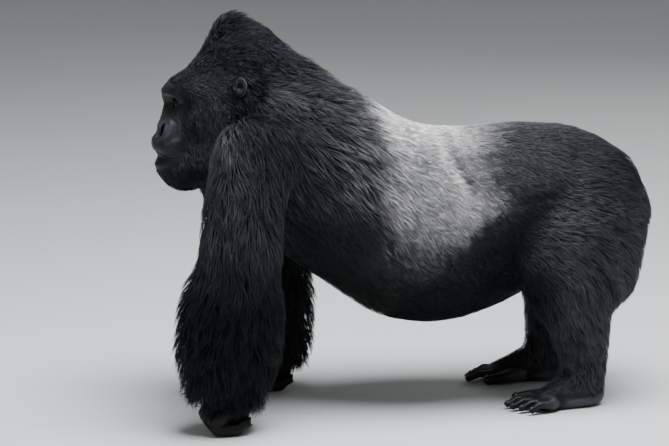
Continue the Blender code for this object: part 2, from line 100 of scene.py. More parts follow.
for name, place, size, power, colour in (
    ("sky_lamp", (0.3, -0.9, 4.6), 3.6, 760, "#F6F8FF"),
    ("front_lamp", (-4.5, -4.0, 2.6), 3.0, 50, "#FFFFFF"),
    ("rear_lamp", (4.0, 4.5, 3.2), 3.0, 60, "#FFFFFF"),
):
    lamp = show(bpy.data.lights.new(name, "AREA"), name)
    lamp.data.shape, lamp.data.size, lamp.data.energy = "DISK", size, power
    lamp.data.color = linear(colour)[:3]
    lamp.location = place
    lamp.rotation_euler = (Vector(place) - LOOKS_AT).to_track_quat("Z", "Y").to_euler()

world = bpy.data.worlds.new("studio")
world.use_nodes = True
world.node_tree.nodes["Background"].inputs["Color"].default_value = linear("#E9ECEF")
world.node_tree.nodes["Background"].inputs["Strength"].default_value = 0.33
bpy.context.scene.world = world

bm = bmesh.new()
bmesh.ops.create_circle(bm, cap_ends=True, segments=96, radius=60)
floor_mesh = bpy.data.meshes.new("floor")
bm.to_mesh(floor_mesh)
bm.free()
floor = show(floor_mesh, "floor")
# Matt pale paint. Faint mottling, over a metre wide, keeps the plain from looking like one flat colour.
floor_paint, tree, shader = new_material("matt floor paint")
where = add_node(tree, "TexCoord").outputs["Object"]
mottle = add_node(tree, "TexNoise", {"Scale": 0.8, "Detail": 2.0}, Vector=where)
pale = {"Color1": linear("#B4B5B3"), "Color2": linear("#BABBB9")}
tint = add_node(tree, "MixRGB", pale, Fac=mottle.outputs[0])
tree.links.new(tint.outputs[0], shader.inputs["Base Color"])
shader.inputs["Roughness"].default_value = 0.9
floor.data.materials.append(floor_paint)

# ---- Skin: its shape ------------------------------------------------
# One closed hide over head, trunk, limbs and digits. It is grown from the solids, so that no seam shows
# between them, and drawn in by the depth of the coat, which is thick on neck and arms and nothing on face,
# hands and feet.
MM = 0.001
MIDDLE_Y = 0.0039
WEAVE, COARSE_WEAVE = 0.0035, 0.0080  # sizes of the cells that join the solids into one hide
COATED_TRIANGLES = 84000  # what the body under the coat is thinned to
SWOLLEN, EYE_SWOLLEN, ROOT_SWOLLEN = 0.0006, 0.0022, 0.0010  # closes the gaps between the solids
DIGIT_SLACK = 0.0013  # bare fingers and toes are a little slimmer than their solids, so that they stay apart
FINGERS = ("index", "middle", "ring", "little_finger", "thumb")
TOES = ("big", "second", "third", "fourth", "little_toe")
HAND, FOOT, TRUNK = ("hand",) + FINGERS, ("foot",) + TOES, ("neck", "chest", "loins", "rump")


def solid_of(name):
    """A bmesh of one solid, its loose triangles sewn together."""
    made = bmesh.new()
    made.from_mesh(nodes[name].data)
    bmesh.ops.remove_doubles(made, verts=made.verts[:], dist=1e-5)
    made.normal_update()
    return made


flesh = sorted(nodes)
joined = bmesh.new()
for name in flesh:
    solid = solid_of(name)
    if name.startswith(FINGERS + TOES):
        side = name.rsplit("_", 1)[1]
        root = solid_of(("foot_" if "toe" in name else "hand_") + side)
        held = BVHTree.FromBMesh(root)
        root.free()
        for point in solid.verts:
            touching = held.find_nearest(point.co)[3] < 4 * MM
            point.co += point.normal * (ROOT_SWOLLEN if touching else -DIGIT_SLACK)
    else:
        for point in solid.verts:
            point.co += point.normal * (EYE_SWOLLEN if name.startswith("eye") else SWOLLEN)
    copied = bpy.data.meshes.new("copied")
    solid.to_mesh(copied)
    solid.free()
    joined.from_mesh(copied)
    bpy.data.meshes.remove(copied)
hide = bpy.data.meshes.new("hide")
joined.to_mesh(hide)
joined.free()
skin = show(hide, "skin")


def settle(thing):
    """Makes the result of an object's modifiers its own mesh."""
    bpy.context.view_layer.update()
    made = bpy.data.meshes.new_from_object(thing.evaluated_get(bpy.context.evaluated_depsgraph_get()))
    thing.modifiers.clear()
    thing.data = made


def read(rows, what, width, kind=np.float32):
    """One property of all a mesh's points, faces or edges, as an array."""
    flat = np.empty(len(rows) * width, kind)
    rows.foreach_get(what, flat)
    return flat.reshape(-1, width)


def points_of(mesh):
    return read(mesh.vertices, "co", 3).astype(float)


def normals_of(mesh):
    return read(mesh.vertex_normals, "vector", 3).astype(float)


def edges_of(mesh):
    return read(mesh.edges, "vertices", 2, np.int32)


def place_points(thing, points):
    thing.data.vertices.foreach_set("co", points.astype(np.float32).ravel())
    thing.data.update()


def surface_of(thing):
    """A tree that finds the nearest place on an object's surface."""
    return BVHTree.FromObject(thing, bpy.context.evaluated_depsgraph_get())


def eased(values, edges, passes, share=0.5):
    """Values at the mesh's points, each drawn towards the mean of its neighbours."""
    values = np.array(values, float)
    flat = values.reshape(len(values), -1)
    count = np.bincount(edges.ravel(), minlength=len(flat)).astype(float).clip(1)
    share = np.broadcast_to(share, len(flat))
    for _ in range(passes):
        for k in range(flat.shape[1]):
            column = flat[:, k]
            total = np.bincount(edges[:, 0], column[edges[:, 1]], len(flat))
            total += np.bincount(edges[:, 1], column[edges[:, 0]], len(flat))
            flat[:, k] = column + share * (total / count - column)
    return flat.reshape(values.shape)


def unit(vectors):
    return vectors / np.linalg.norm(vectors, axis=-1, keepdims=True).clip(1e-9)


def ramp(value, start, end):
    """0 before start, 1 after end, smooth between them. start may be the greater."""
    share = np.clip((np.asarray(value, float) - start) / (end - start), 0, 1)
    return share * share * (3 - 2 * share)


def sewn_up(thing, cell):
    """Joins all that an object holds into one closed surface of cells this size."""
    sewn = thing.modifiers.new("sewn", "REMESH")
    sewn.mode, sewn.voxel_size = "VOXEL", cell
    settle(thing)


under = show(hide.copy(), "under")  # a coarse copy, on which the sinking is worked out
sewn_up(under, COARSE_WEAVE)
sewn_up(skin, WEAVE)

# Which solid each point of the hide grew from.
corners, triangles, owner = [], [], []
for index, name in enumerate(flesh):
    mesh = nodes[name].data
    start = len(corners)
    corners += [v.co.copy() for v in mesh.vertices]
    triangles += [tuple(start + k for k in p.vertices) for p in mesh.polygons]
    owner += [index] * len(mesh.polygons)
solids = BVHTree.FromPolygons(corners, triangles)
owner = np.array(owner)


def solid_under(points):
    """For each point, the place in flesh of the nearest solid."""
    return owner[[solids.find_nearest(p)[2] for p in points.tolist()]]


# The bare face ends at the brow, the cheek and the lower lip: how far back it reaches, by height.
FACE_HEIGHTS = (0.655, 0.672, 0.690, 0.700, 0.735, 0.775, 0.800, 0.830, 0.860, 0.890, 0.920, 0.936, 0.950)
FACE_BACK = (-0.720, -0.664, -0.622, -0.608, -0.604, -0.610, -0.616, -0.610, -0.608, -0.626, -0.652, -0.680,
             -0.720)


def bare_face(points):
    """1 on the bare face and 0 where hair grows."""
    inwards = (0.070 - np.abs(points[:, 1] - MIDDLE_Y)).clip(0, 0.05) * ramp(points[:, 2], 0.895, 0.870)
    back = np.interp(points[:, 2], FACE_HEIGHTS, FACE_BACK) + 0.35 * inwards
    return ramp(back - points[:, 0], -0.013, 0.009)


def named(labels, *starts):
    """Which points belong to a solid whose name starts with one of these words."""
    return np.isin(labels, [k for k, name in enumerate(flesh) if name.startswith(starts)])


def coat_depth(points, labels):
    """How far the skin lies inside the solids' faces, which stand for the tips of the coat."""
    x, z = points[:, 0], points[:, 2]
    depth = np.full(len(points), 0.0006)
    for starts, value in (
        (("head",), 0.007 + 0.006 * ramp(z, 0.93, 1.04) + 0.004 * ramp(x, -0.52, -0.42)),
        (("lower_jaw",), 0.004 + 0.004 * ramp(x, -0.62, -0.55)),
        (TRUNK, 0.014 - 0.010 * ramp(x, -0.20, 0.0) + 0.005 * ramp(x, 0.30, 0.50)),
        (("upper_arm",), 0.018),
        (("forearm",), 0.028),
        (("thigh",), 0.010),
        (("shank",), 0.014),
    ):
        depth = np.where(named(labels, *starts), value, depth)
    return depth * (1 - bare_face(points) * named(labels, "head", "lower_jaw"))


points, edges = points_of(under.data), edges_of(under.data)
corners_of = np.array([tuple(p.vertices)[:4] for p in under.data.polygons])
woven = surface_of(under)
labels = solid_under(points)
depth = eased(coat_depth(points, labels), edges, 3)
softened = np.clip(depth / 0.008, 0, 0.5)
unsunk = points
sunk = eased(points, edges, 6, softened)
# Behind the shoulder the hide runs from the neck to the arm without a groove.
for side, x in ((-1, -0.385), (1, -0.345)):
    gap = points - np.array((x, MIDDLE_Y + side * 0.285, 0.665))
    sunk = eased(sunk, edges, 45, 0.5 * np.exp(-((gap / (0.075, 0.10, 0.115)) ** 2).sum(1)) * (depth > 0.003))
SINKING_STEPS = 6
for _ in range(SINKING_STEPS):
    place_points(under, sunk)
    sunk -= eased(normals_of(under.data), edges, 2) * (depth / SINKING_STEPS)[:, None]
    sunk = eased(sunk, edges, 2, softened)
place_points(under, sunk)
grown = surface_of(under)

points, edges = points_of(skin.data), edges_of(skin.data)
face = corners_of[[woven.find_nearest(p)[2] for p in points.tolist()]]
moved = eased(np.column_stack(((sunk - unsunk)[face].mean(1), depth[face].mean(1))), edges, 3)
fine_depth = moved[:, 3]
small = named(labels, *FINGERS, *TOES, "eye", "ear")
points = eased(points, edges, 6, np.where(small[face[:, 0]], 0.12, 0.5)) + moved[:, :3]
place_points(skin, points)

# The body under the coat needs few faces, the bare parts keep all of theirs.
kept = (fine_depth < 4 * MM) & (points[:, 2] > 0.5)
thinned = skin.vertex_groups.new(name="coated")
thinned.add(np.flatnonzero(~kept).tolist(), 1.0, "REPLACE")
thin = skin.modifiers.new("thin", "DECIMATE")
thin.vertex_group = "coated"
thin.ratio = (2 * int(kept.sum()) + COATED_TRIANGLES) / (2 * len(skin.data.polygons))
settle(skin)
skin.vertex_groups.clear()

# ---- Skin: face, ears, hands and feet -------------------------------
# Bare leathery skin. The face is modelled in finer cells: a heavy brow, sunk eyes between lids, a broad nose
# with folded wings, lips, and the wrinkles between them. Every line is pressed or raised on both sides alike.
def split_where(fine):
    """Halves the edges of all the skin's faces whose middle passes a test."""
    bm = bmesh.new()
    bm.from_mesh(skin.data)
    middles = np.array([f.calc_center_median() for f in bm.faces])
    chosen = np.flatnonzero(fine(middles))
    bm.faces.ensure_lookup_table()
    cut = {edge for k in chosen for edge in bm.faces[k].edges}
    bmesh.ops.subdivide_edges(bm, edges=list(cut), cuts=1, use_grid_fill=True)
    bm.to_mesh(skin.data)
    bm.free()


def out_from_middle(points):
    return np.abs(points[:, 1] - MIDDLE_Y)


def near_either(points, x, out, z, reach):
    """Points within reach of a place on the left or right of the head."""
    gap = np.stack((points[:, 0] - x, out_from_middle(points) - out, points[:, 2] - z), 1)
    return np.linalg.norm(gap, axis=1) < reach


EAR_X, EAR_OUT, EAR_Z = -0.4656, 0.122, 0.893
EYE_X, EYE_OUT, EYE_Z, EYE_RADIUS = -0.6111, 0.0365, 0.845, 0.0135
split_where(lambda p: ((p[:, 2] > 0.655) & (p[:, 2] < 0.94) & (p[:, 0] < -0.582)
                       & (out_from_middle(p) < 0.09)) | near_either(p, EAR_X, EAR_OUT, EAR_Z, 0.042))
split_where(lambda p: near_either(p, -0.620, EYE_OUT, EYE_Z, 0.024))
split_where(lambda p: near_either(p, -0.622, EYE_OUT + 0.002, EYE_Z, 0.0165))
points, edges = points_of(skin.data), edges_of(skin.data)
on_head = (points[:, 2] > 0.59) & (points[:, 0] < -0.40) & (out_from_middle(points) < 0.17)


def settle_form(passes, test):
    """Smooths the skin where a test says so."""
    global points
    points = eased(points, edges, passes, np.where(test, 0.5, 0.0))


def form(line, width, height, sides=(-1, 1), way=None):
    """Raises the skin along a line, or presses it in where the height is negative, and returns how far each
    point went. The line is given as places (x, out, z) near the surface, and is drawn onto it first. Width
    and height are in millimetres. A way (x, out, z) replaces straight outwards."""
    width, height = width * MM, height * MM
    place_points(skin, points)
    normals = normals_of(skin.data)
    surface = surface_of(skin)
    if line[0][1] == 0 and len(line) > 1 and any(out for _, out, _ in line):  # one line across the middle
        line, sides = [(x, -out, z) for x, out, z in line[:0:-1]] + line, (1,)
    moved = np.zeros(len(points))
    for side in sides:
        shift = np.zeros(len(points))
        ends = [np.array((x, MIDDLE_Y + side * out, z)) for x, out, z in line]
        steps = [a + (b - a) * t for a, b in zip(ends, ends[1:]) for t in np.linspace(0, 1, 7)] or ends
        drawn = np.array([surface.find_nearest(p.tolist())[0] for p in steps])
        reach = width * 2.6
        low, high = drawn.min(0) - reach, drawn.max(0) + reach
        near = np.flatnonzero(((points > low) & (points < high)).all(1))
        gap = np.full(len(near), 9.0)
        along = np.zeros(len(near))
        for k in range(max(len(drawn) - 1, 1)):
            a, b = drawn[k], drawn[min(k + 1, len(drawn) - 1)]
            step = b - a
            t = ((points[near] - a) @ step / max(step @ step, 1e-12)).clip(0, 1)
            d = np.linalg.norm(points[near] - a - t[:, None] * step, axis=1)
            along = np.where(d < gap, (k + t) / max(len(drawn) - 1, 1), along)
            gap = np.minimum(gap, d)
        taper = 1.0 if len(line) == 1 else 0.35 + 0.65 * np.sin(np.pi * along) ** 0.6
        shift[near] = height * taper * np.exp(-((gap / width) ** 2))
        lift = unit(np.array((way[0], way[1] * side, way[2]))) if way else normals
        points[:] += lift * shift[:, None]
        moved += np.abs(shift)
    return moved


# Broad forms: the forehead, the brow's overhang, the hollow sockets, the bridge of the nose, and the cheeks.
form([(-0.600, 0.0, 0.940), (-0.640, 0.0, 0.915), (-0.640, 0.030, 0.910)], 14, -4)
form([(-0.655, 0.012, 0.874), (-0.650, 0.035, 0.874), (-0.630, 0.060, 0.867), (-0.605, 0.075, 0.852)], 8, 6)
form([(-0.625, 0.022, 0.850), (-0.625, 0.045, 0.850)], 12, -8.5)
form([(-0.645, 0.0, 0.835), (-0.655, 0.0, 0.800), (-0.665, 0.0, 0.783)], 14, -3, (1,))
form([(-0.600, 0.060, 0.815), (-0.620, 0.050, 0.800)], 14, -4)
settle_form(4, near_either(points, -0.63, 0.04, 0.86, 0.07) & on_head)
# Nose: the wings bulge round each nostril like a thick comma, with a fold behind them.
form([(-0.640, 0.026, 0.808), (-0.635, 0.045, 0.790), (-0.640, 0.052, 0.768), (-0.658, 0.046, 0.748)],
     6, 4.5)
form([(-0.626, 0.032, 0.814), (-0.622, 0.056, 0.790), (-0.630, 0.062, 0.762), (-0.650, 0.054, 0.742)],
     3.6, -3.4)
form([(-0.618, 0.030, 0.818), (-0.612, 0.058, 0.795), (-0.620, 0.066, 0.765)], 6, 2)
form([(-0.606, 0.046, 0.822), (-0.602, 0.066, 0.795), (-0.608, 0.073, 0.768)], 2.8, -2.5)
inside_nose = form([(-0.653, 0.034, 0.787), (-0.667, 0.036, 0.769), (-0.677, 0.030, 0.753)],
                   6.2, 16, (-1, 1), (0.65, -0.75, 0.20))
inside_nose += form([(-0.671, 0.028, 0.765), (-0.677, 0.017, 0.766)], 6.5, 8.5, (-1, 1), (1.0, 0.0, 0.30))
form([(-0.672, 0.0, 0.760), (-0.676, 0.0, 0.748)], 3.5, -2, (1,))
form([(-0.655, 0.0, 0.795), (-0.668, 0.0, 0.775)], 2.4, -1.6, (1,))
# Lips and mouth.
settle_form(26, on_head & (np.abs(points[:, 2] - 0.699) < 0.015) & (points[:, 0] < -0.60))
form([(-0.672, 0.0, 0.688), (-0.664, 0.030, 0.688)], 12, 1.6)
form([(-0.684, 0.0, 0.704), (-0.676, 0.028, 0.702), (-0.655, 0.046, 0.700), (-0.635, 0.056, 0.700),
      (-0.615, 0.062, 0.702)], 2.0, -3.6)
form([(-0.640, 0.056, 0.740), (-0.610, 0.070, 0.722), (-0.590, 0.076, 0.705)], 4, -1.2)
form([(-0.668, 0.0, 0.672), (-0.655, 0.036, 0.672)], 6, -1.5)
# Wrinkles under the eyes, across the bridge, over the brow, and fine upright ones on the upper lip.
for k in range(5):
    form([(-0.628, 0.026 + 0.004 * k, 0.832 - 0.005 * k), (-0.620, 0.044 + 0.003 * k, 0.822 - 0.006 * k),
          (-0.605, 0.060 + 0.002 * k, 0.826 - 0.007 * k)], 1.6, -(0.9 - 0.2 * (k % 2)))
for k in range(4):
    drop = 0.009 * k
    form([(-0.648, 0.0, 0.838 - drop), (-0.642, 0.014, 0.834 - drop), (-0.632, 0.024, 0.824 - drop)],
         1.7, -0.9)
for k in range(3):
    form([(-0.652, 0.004, 0.880 + 0.014 * k), (-0.646, 0.030, 0.884 + 0.014 * k),
          (-0.625, 0.058, 0.878 + 0.012 * k)], 2.0, -0.8)
for k, out in enumerate((0.006, 0.014, 0.025, 0.033, 0.045, 0.054)):
    form([(-0.683 + 0.006 * k, out, 0.738 - 0.003 * (k % 2)), (-0.684 + 0.007 * k, out * 1.07, 0.712)],
         1.6, -0.4)

# The crease down each flank behind the ribs, and the fold from the belly over the thigh.
form([(0.112, 0.160, 0.730), (0.115, 0.200, 0.690), (0.135, 0.235, 0.640)], 20, -6)
form([(0.255, 0.270, 0.572), (0.320, 0.260, 0.588), (0.390, 0.235, 0.600)], 14, -6)
# The folds where the head's hair meets the nape, and where the nape meets the shoulder.
form([(-0.415, 0.090, 0.950), (-0.394, 0.125, 0.908), (-0.415, 0.135, 0.865), (-0.450, 0.140, 0.835)],
     9, -10)
form([(-0.455, 0.150, 0.825), (-0.415, 0.190, 0.806), (-0.370, 0.215, 0.800)], 11, -10)

# Ears: a rolled rim round a hollow, with a small flap before it.
for steps, width, height in (
    (((0.001, 0.003, 0.010), (0.001, 0.0, -0.006)), 7, -7),
    (((-0.008, 0.0, 0.022), (0.008, 0.006, 0.024), (0.017, 0.010, 0.008), (0.014, 0.008, -0.012),
      (0.002, 0.003, -0.024)), 3.2, 4.0),
    (((-0.011, -0.004, 0.002), (-0.011, -0.004, -0.008)), 3.5, 3),
):
    form([(EAR_X + x, EAR_OUT + out, EAR_Z + z) for x, out, z in steps], width, height)

# Lids: the skin wraps the eyeball but for an almond opening, where it is tucked behind the ball.
LID_WIDE, LID_UP, LID_DOWN, LID_THICK = 12.5 * MM, 5.2 * MM, 4.2 * MM, 1.5 * MM
eye_ways = {}
for side in (-1, 1):
    middle = np.array((EYE_X, MIDDLE_Y + side * EYE_OUT, EYE_Z))
    ahead = unit(np.array((-0.96, side * 0.26, -0.06)))
    across = unit(np.cross((0, 0, 1.0), ahead)) * side * -1
    up = np.cross(ahead, across) * (1 if np.cross(ahead, across)[2] > 0 else -1)
    eye_ways[side] = (middle, ahead)
    near = np.flatnonzero(np.linalg.norm(points - middle, axis=1) < 0.034)
    rel = points[near] - middle
    far = np.linalg.norm(rel, axis=1)
    facing = rel @ ahead
    wide = np.arctan2(rel @ across, facing.clip(1e-4)) * EYE_RADIUS
    high = np.arctan2(rel @ up + 0.1 * wide, facing.clip(1e-4)) * EYE_RADIUS
    limit = np.where(high > 0, LID_UP, LID_DOWN) * (1 - (wide / LID_WIDE) ** 2)
    beyond = np.maximum(np.abs(high) - limit, np.abs(wide) - LID_WIDE)
    inside = (beyond < 0) & (facing > 0)
    lid = EYE_RADIUS + LID_THICK
    hold = np.exp(-((beyond.clip(0) / (6.5 * MM)) ** 2)) * (facing > 0)
    wanted = np.where(inside, EYE_RADIUS * 0.80, far + (lid + 0.20 * beyond.clip(0) - far) * hold)
    points[near] = middle + rel * (wanted / far.clip(1e-6))[:, None]
    crease = np.exp(-(((beyond - 5 * MM) / (1.3 * MM)) ** 2)) * (facing > 0) * 1.1 * MM
    points[near] -= unit(rel) * crease[:, None]
place_points(skin, points)
skin.data.shade_smooth()


# ---- Skin: its markings, its painted shade and its leather ----------
# Black hide with a dull sheen, and a blue-grey sheen painted on its ridges and nose. Where fur grows it takes
# the fur's own colours, which change over the body from black to the silver saddle of a grown male, and the
# coat's painted shade, so that nothing odd shows between the locks.
def waves(points, pitch, seed):
    """A soft random field about -1 to 1, its swells about this far apart."""
    draw = np.random.default_rng(seed)
    total = np.zeros(len(points))
    for _ in range(7):
        way = unit(draw.normal(size=3)) * 2 * math.pi / (pitch * draw.uniform(0.7, 1.5))
        total += np.sin(points @ way + draw.uniform(0, 2 * math.pi))
    return total / 3.2


def silver_and_crease_light_share(points):
    """How grey the fur is: 1 on top of the saddle, about a half down the flank, near 0 on head and limbs,
    with a painted highlight and painted shade at the crease down the flank.
    """
    x, z, out = points[:, 0], points[:, 2], out_from_middle(points)
    ragged = 0.016 * waves(points * (1, 1, 0.35), 0.030, 5) + 0.012 * waves(points, 0.11, 6)
    slant = 0.10 * (z - 0.72).clip(0, 1)
    fore = ramp(x + ragged, -0.135 - slant, -0.030 - slant)
    top = ramp(z, 0.68, 0.765)
    aft = 1 - ramp(x + ragged - 0.03 * top - 0.04 * ramp(z, 0.64, 0.56), 0.09, 0.27 + 0.04 * top)
    groin = ramp(z - (0.377 + 0.88 * (x - 0.047)) + ragged, 0.0, 0.06)  # the fold from belly to hip
    low = ramp(z + ragged, 0.36, 0.62)
    level = 0.49 * (0.10 + 0.90 * low) + 0.52 * top * (1 - 0.8 * ramp(x, 0.11, 0.25))
    # The crease down the flank gets a painted highlight in front and painted shade behind.
    behind = x - np.interp(z, (0.61, 0.64, 0.68, 0.72, 0.75), (0.121, 0.108, 0.087, 0.083, 0.079))
    crease = 0.42 * np.exp(-((behind / np.where(behind < 0, 0.018, 0.006)) ** 2))
    crease = crease - 0.24 * np.exp(-(((behind - 0.027) / 0.018) ** 2))
    flank = fore * (aft * groin * level + crease * ramp(z, 0.59, 0.63) * (1 - ramp(z, 0.74, 0.78)))
    nape = 0.045 * np.exp(-(((x + 0.34) / 0.07) ** 2) - ((z - 0.87) / 0.05) ** 2 - ((out - 0.17) / 0.09) ** 2)
    haunch = 0.07 * ramp(x, 0.17, 0.28) * (1 - ramp(x, 0.36, 0.62))
    haunch = haunch * (0.55 + 0.45 * top) * ramp(z, 0.42, 0.60)
    leg = 0.04 * ramp(z, 0.62, 0.50) * ramp(x, 0.30, 0.38)
    cheek = 0.035 * ramp(z, 0.67, 0.71) * ramp(z, 0.90, 0.84) * ramp(x, -0.48, -0.52)
    shoulder = 0.012 * ramp(z, 0.48, 0.56) * ramp(z, 0.78, 0.70)
    shoulder = shoulder * ramp(x, -0.28, -0.33) * ramp(out, 0.14, 0.20)
    # A faint grey on the chest's side, between the arm and the saddle.
    chest_side_grey = 0.10 * ramp(x, -0.30, -0.15) * ramp(z, 0.45, 0.70)
    chest_side_grey = chest_side_grey + 0.05 * ramp(x, -0.38, -0.26) * ramp(z, 0.50, 0.60) * ramp(z, 0.80, 0.72)
    chest_side_grey = chest_side_grey * (1 - ramp(x, -0.10, 0.0))
    return np.clip(flank + nape + haunch + leg + cheek + shoulder + chest_side_grey, 0, 1)


def painted_shade_share(points):
    """Painted shade: how much blacker the coat is painted than on the shoulders, on crown, forearms,
    belly, groin and deep folds.
    """
    x, z, out = points[:, 0], points[:, 2], out_from_middle(points)
    forearm = ramp(z, 0.46, 0.32) * (x < -0.2)
    brow = 0.8 * ramp(z, 0.812, 0.838) * ramp(z, 0.965, 0.935) * ramp(x, -0.57, -0.60)
    belly = ramp(z, 0.43, 0.34) * ramp(x, -0.30, -0.20) * ramp(x, 0.42, 0.30)
    thigh = np.interp(z, (0.42, 0.50, 0.585), (0.275, 0.300, 0.390))
    groin = ramp(0.377 + 0.88 * (x - 0.047) - z, -0.01, 0.05) * ramp(x, 0.02, 0.08)
    groin = groin * ramp(x, thigh + 0.03, thigh - 0.03) * ramp(z, 0.63, 0.58)
    thigh_fold = 0.7 * np.exp(-(((z - 0.580 - 0.19 * (x - 0.28)) / 0.020) ** 2))
    thigh_fold = thigh_fold * ramp(x, 0.24, 0.28) * ramp(x, 0.45, 0.38)
    armpit = 0.7 * ramp(x, -0.34, -0.28) * ramp(x, -0.10, -0.18) * ramp(z, 0.60, 0.52)
    crown = (0.85 * ramp(z, 0.90, 0.97) + 0.15 * ramp(z, 1.00, 1.05)) * ramp(x, -0.39, -0.46)
    # Painted shade in the creases where the head's hair ends behind the ear, and where the nape's ends
    # on the shoulder.
    edge = np.interp(z, (0.834, 0.858, 0.904, 0.936, 0.965), (-0.453, -0.424, -0.407, -0.415, -0.430))
    behind_ear = np.exp(-(((x - edge - 0.004) / 0.014) ** 2))
    behind_ear = behind_ear * ramp(z, 0.825, 0.845) * ramp(z, 0.970, 0.935) * ramp(out, 0.06, 0.09)
    ridge = np.interp(x, (-0.46, -0.395, -0.328), (0.822, 0.812, 0.802))
    wide = np.interp(x, (-0.42, -0.38), (0.022, 0.012))
    on_shoulder = np.exp(-(((z - ridge) / wide) ** 2))
    on_shoulder = on_shoulder * ramp(x, -0.475, -0.455) * ramp(x, -0.31, -0.36) * ramp(out, 0.10, 0.14)
    folds = (thigh_fold, armpit, behind_ear, on_shoulder)
    return np.clip(np.maximum.reduce((forearm, brow, belly, groin, crown) + folds), 0, 1)


def store(mesh, name, values):
    mesh.attributes.new(name, "FLOAT", "POINT").data.foreach_set("value", np.asarray(values, np.float32))


points, normals = points_of(skin.data), normals_of(skin.data)
edges = edges_of(skin.data)
labels = labels[corners_of[[grown.find_nearest(p)[2] for p in points.tolist()]][:, 0]]
x, z, out = points[:, 0], points[:, 2], out_from_middle(points)
bare = bare_face(points) * named(labels, "head", "lower_jaw", "eye")
bare = np.maximum(bare, near_either(points, EAR_X + 0.004, EAR_OUT, EAR_Z, 0.025) * 1.0)
bare = np.maximum(bare, named(labels, *HAND) * ramp(z, 0.085, 0.060))
bare = np.maximum(bare, named(labels, *FOOT) * ramp(z, 0.062, 0.042))
bare = eased(bare, edges, 2).clip(0, 1)
store(skin.data, "bare", bare)
store(skin.data, "silver", silver_and_crease_light_share(points))
# Painted shade on the hide: the coat's, and more of it deep inside the nostrils.
store(skin.data, "dark", np.maximum(painted_shade_share(points), ramp(inside_nose, 2.5 * MM, 6 * MM)))
# Painted sheen: the bare nose is painted a lighter blue-grey.
store(skin.data, "nose", 0.8 * bare * np.exp(-(((z - 0.783) / 0.026) ** 2)) * ramp(x, -0.600, -0.630))
hollow = np.zeros(len(points))  # above 0 in creases, below 0 on ridges
for a, b in (edges.T, edges.T[::-1]):
    hollow += np.bincount(a, ((points[b] - points[a]) * normals[a]).sum(1), len(points))
hollow = eased(np.clip(hollow / (0.9 * MM), -1, 1), edges, 2)
store(skin.data, "hollow", hollow)

hide_leather, tree, shader = new_material("black hide")
where = add_node(tree, "TexCoord").outputs["Object"]
bare_part, silver_and_crease_light_part, fold, nose_painted_sheen, painted_shade_part = (
    add_node(tree, "Attribute", {"attribute_name": name}).outputs["Fac"]
    for name in ("bare", "silver", "hollow", "nose", "dark")
)
# Blotches of about 26 mm. Painted shade darkens the folds and a painted highlight lightens the ridges;
# the nose gets a painted blue-grey sheen, and the brow and the nostrils painted shade.
blotch = add_node(tree, "TexNoise", {"Scale": 38.0, "Detail": 4.0, "Roughness": 0.6}, Vector=where)
blacks = {"Color1": linear("#0A0A0B"), "Color2": linear("#17171A")}
leather_tint = add_node(tree, "MixRGB", blacks, Fac=blotch.outputs[0])
crease_painted_shade = add_node(tree, "MapRange", {1: 0.0, 2: 0.7, 3: 0.0, 4: 0.85}, i0=fold)
ridge_painted_highlight = add_node(tree, "MapRange", {1: -0.12, 2: -0.8, 3: 0.0, 4: 0.6}, i0=fold)
face_colour = leather_tint.outputs[0]
for colour, share in (
    ("#030303", crease_painted_shade.outputs[0]),
    ("#4A4A52", ridge_painted_highlight.outputs[0]),
    ("#3A3A40", nose_painted_sheen),
    ("#050506", painted_shade_part),
):
    mixed = add_node(tree, "MixRGB", {"Color2": linear(colour)}, Fac=share, Color1=face_colour)
    face_colour = mixed.outputs[0]
# Under the coat the hide is black, and blacker still where painted shade falls.
deep_blacks = {"Color1": linear("#0A0A0C"), "Color2": linear("#030303")}
under_black = add_node(tree, "MixRGB", deep_blacks, Fac=painted_shade_part).outputs[0]
under_grey = add_node(tree, "MapRange", {1: 0.12, 2: 1.0, 3: 0.0, 4: 1.0}, i0=silver_and_crease_light_part).outputs[0]
under_fur = add_node(tree, "MixRGB", {"Color2": linear("#BDBBB8")}, Fac=under_grey, Color1=under_black)
# Skin creases every 3-4 mm with pores of 1.4 mm between them; on the body, fine lines along the lie of the
# short fur, drawn at 2.4 mm because single hairs are too fine to show.
cells = add_node(tree, "TexVoronoi", {"feature": "DISTANCE_TO_EDGE", "Scale": 300.0}, Vector=where)
pores = add_node(tree, "TexNoise", {"Scale": 700.0, "Detail": 2.0}, Vector=where)
grain = add_node(tree, "MixRGB", {"blend_type": "MULTIPLY", 0: 0.6}, i1=cells.outputs[0], i2=pores.outputs[0])
drawn_out = {"vector_type": "TEXTURE", "Rotation": (0, math.radians(38), 0), "Scale": (14, 1, 1)}
lie = add_node(tree, "Mapping", drawn_out, Vector=where)
hairs = add_node(tree, "TexNoise", {"Scale": 420.0, "Detail": 2.0}, Vector=lie.outputs[0])
streak = add_node(tree, "MapRange", {1: 0.3, 2: 0.7, 3: 0.45, 4: 1.35}, i0=hairs.outputs[0])
streaked = add_node(tree, "VectorMath", {"operation": "SCALE"}, i0=under_fur.outputs[0],
                    Scale=streak.outputs[0])
hide_colour = add_node(tree, "MixRGB", Fac=bare_part, Color1=streaked.outputs[0], Color2=face_colour)
tree.links.new(hide_colour.outputs[0], shader.inputs["Base Color"])
relief = add_node(tree, "MixRGB", Fac=bare_part, Color1=hairs.outputs[0], Color2=grain.outputs[0])
bump = add_node(tree, "Bump", {"Strength": 0.55, "Distance": 0.0009}, Height=relief.outputs[0])
tree.links.new(bump.outputs[0], shader.inputs["Normal"])
shader.inputs["Specular IOR Level"].default_value = 0.22
gloss = add_node(tree, "MapRange", {3: 0.62, 4: 0.50}, i0=bare_part)
tree.links.new(gloss.outputs[0], shader.inputs["Roughness"])
skin.data.materials.clear()
skin.data.materials.append(hide_leather)

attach(skin, "root")
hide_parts(*[n for n in flesh if not n.startswith("eye")])
bpy.data.objects.remove(under)

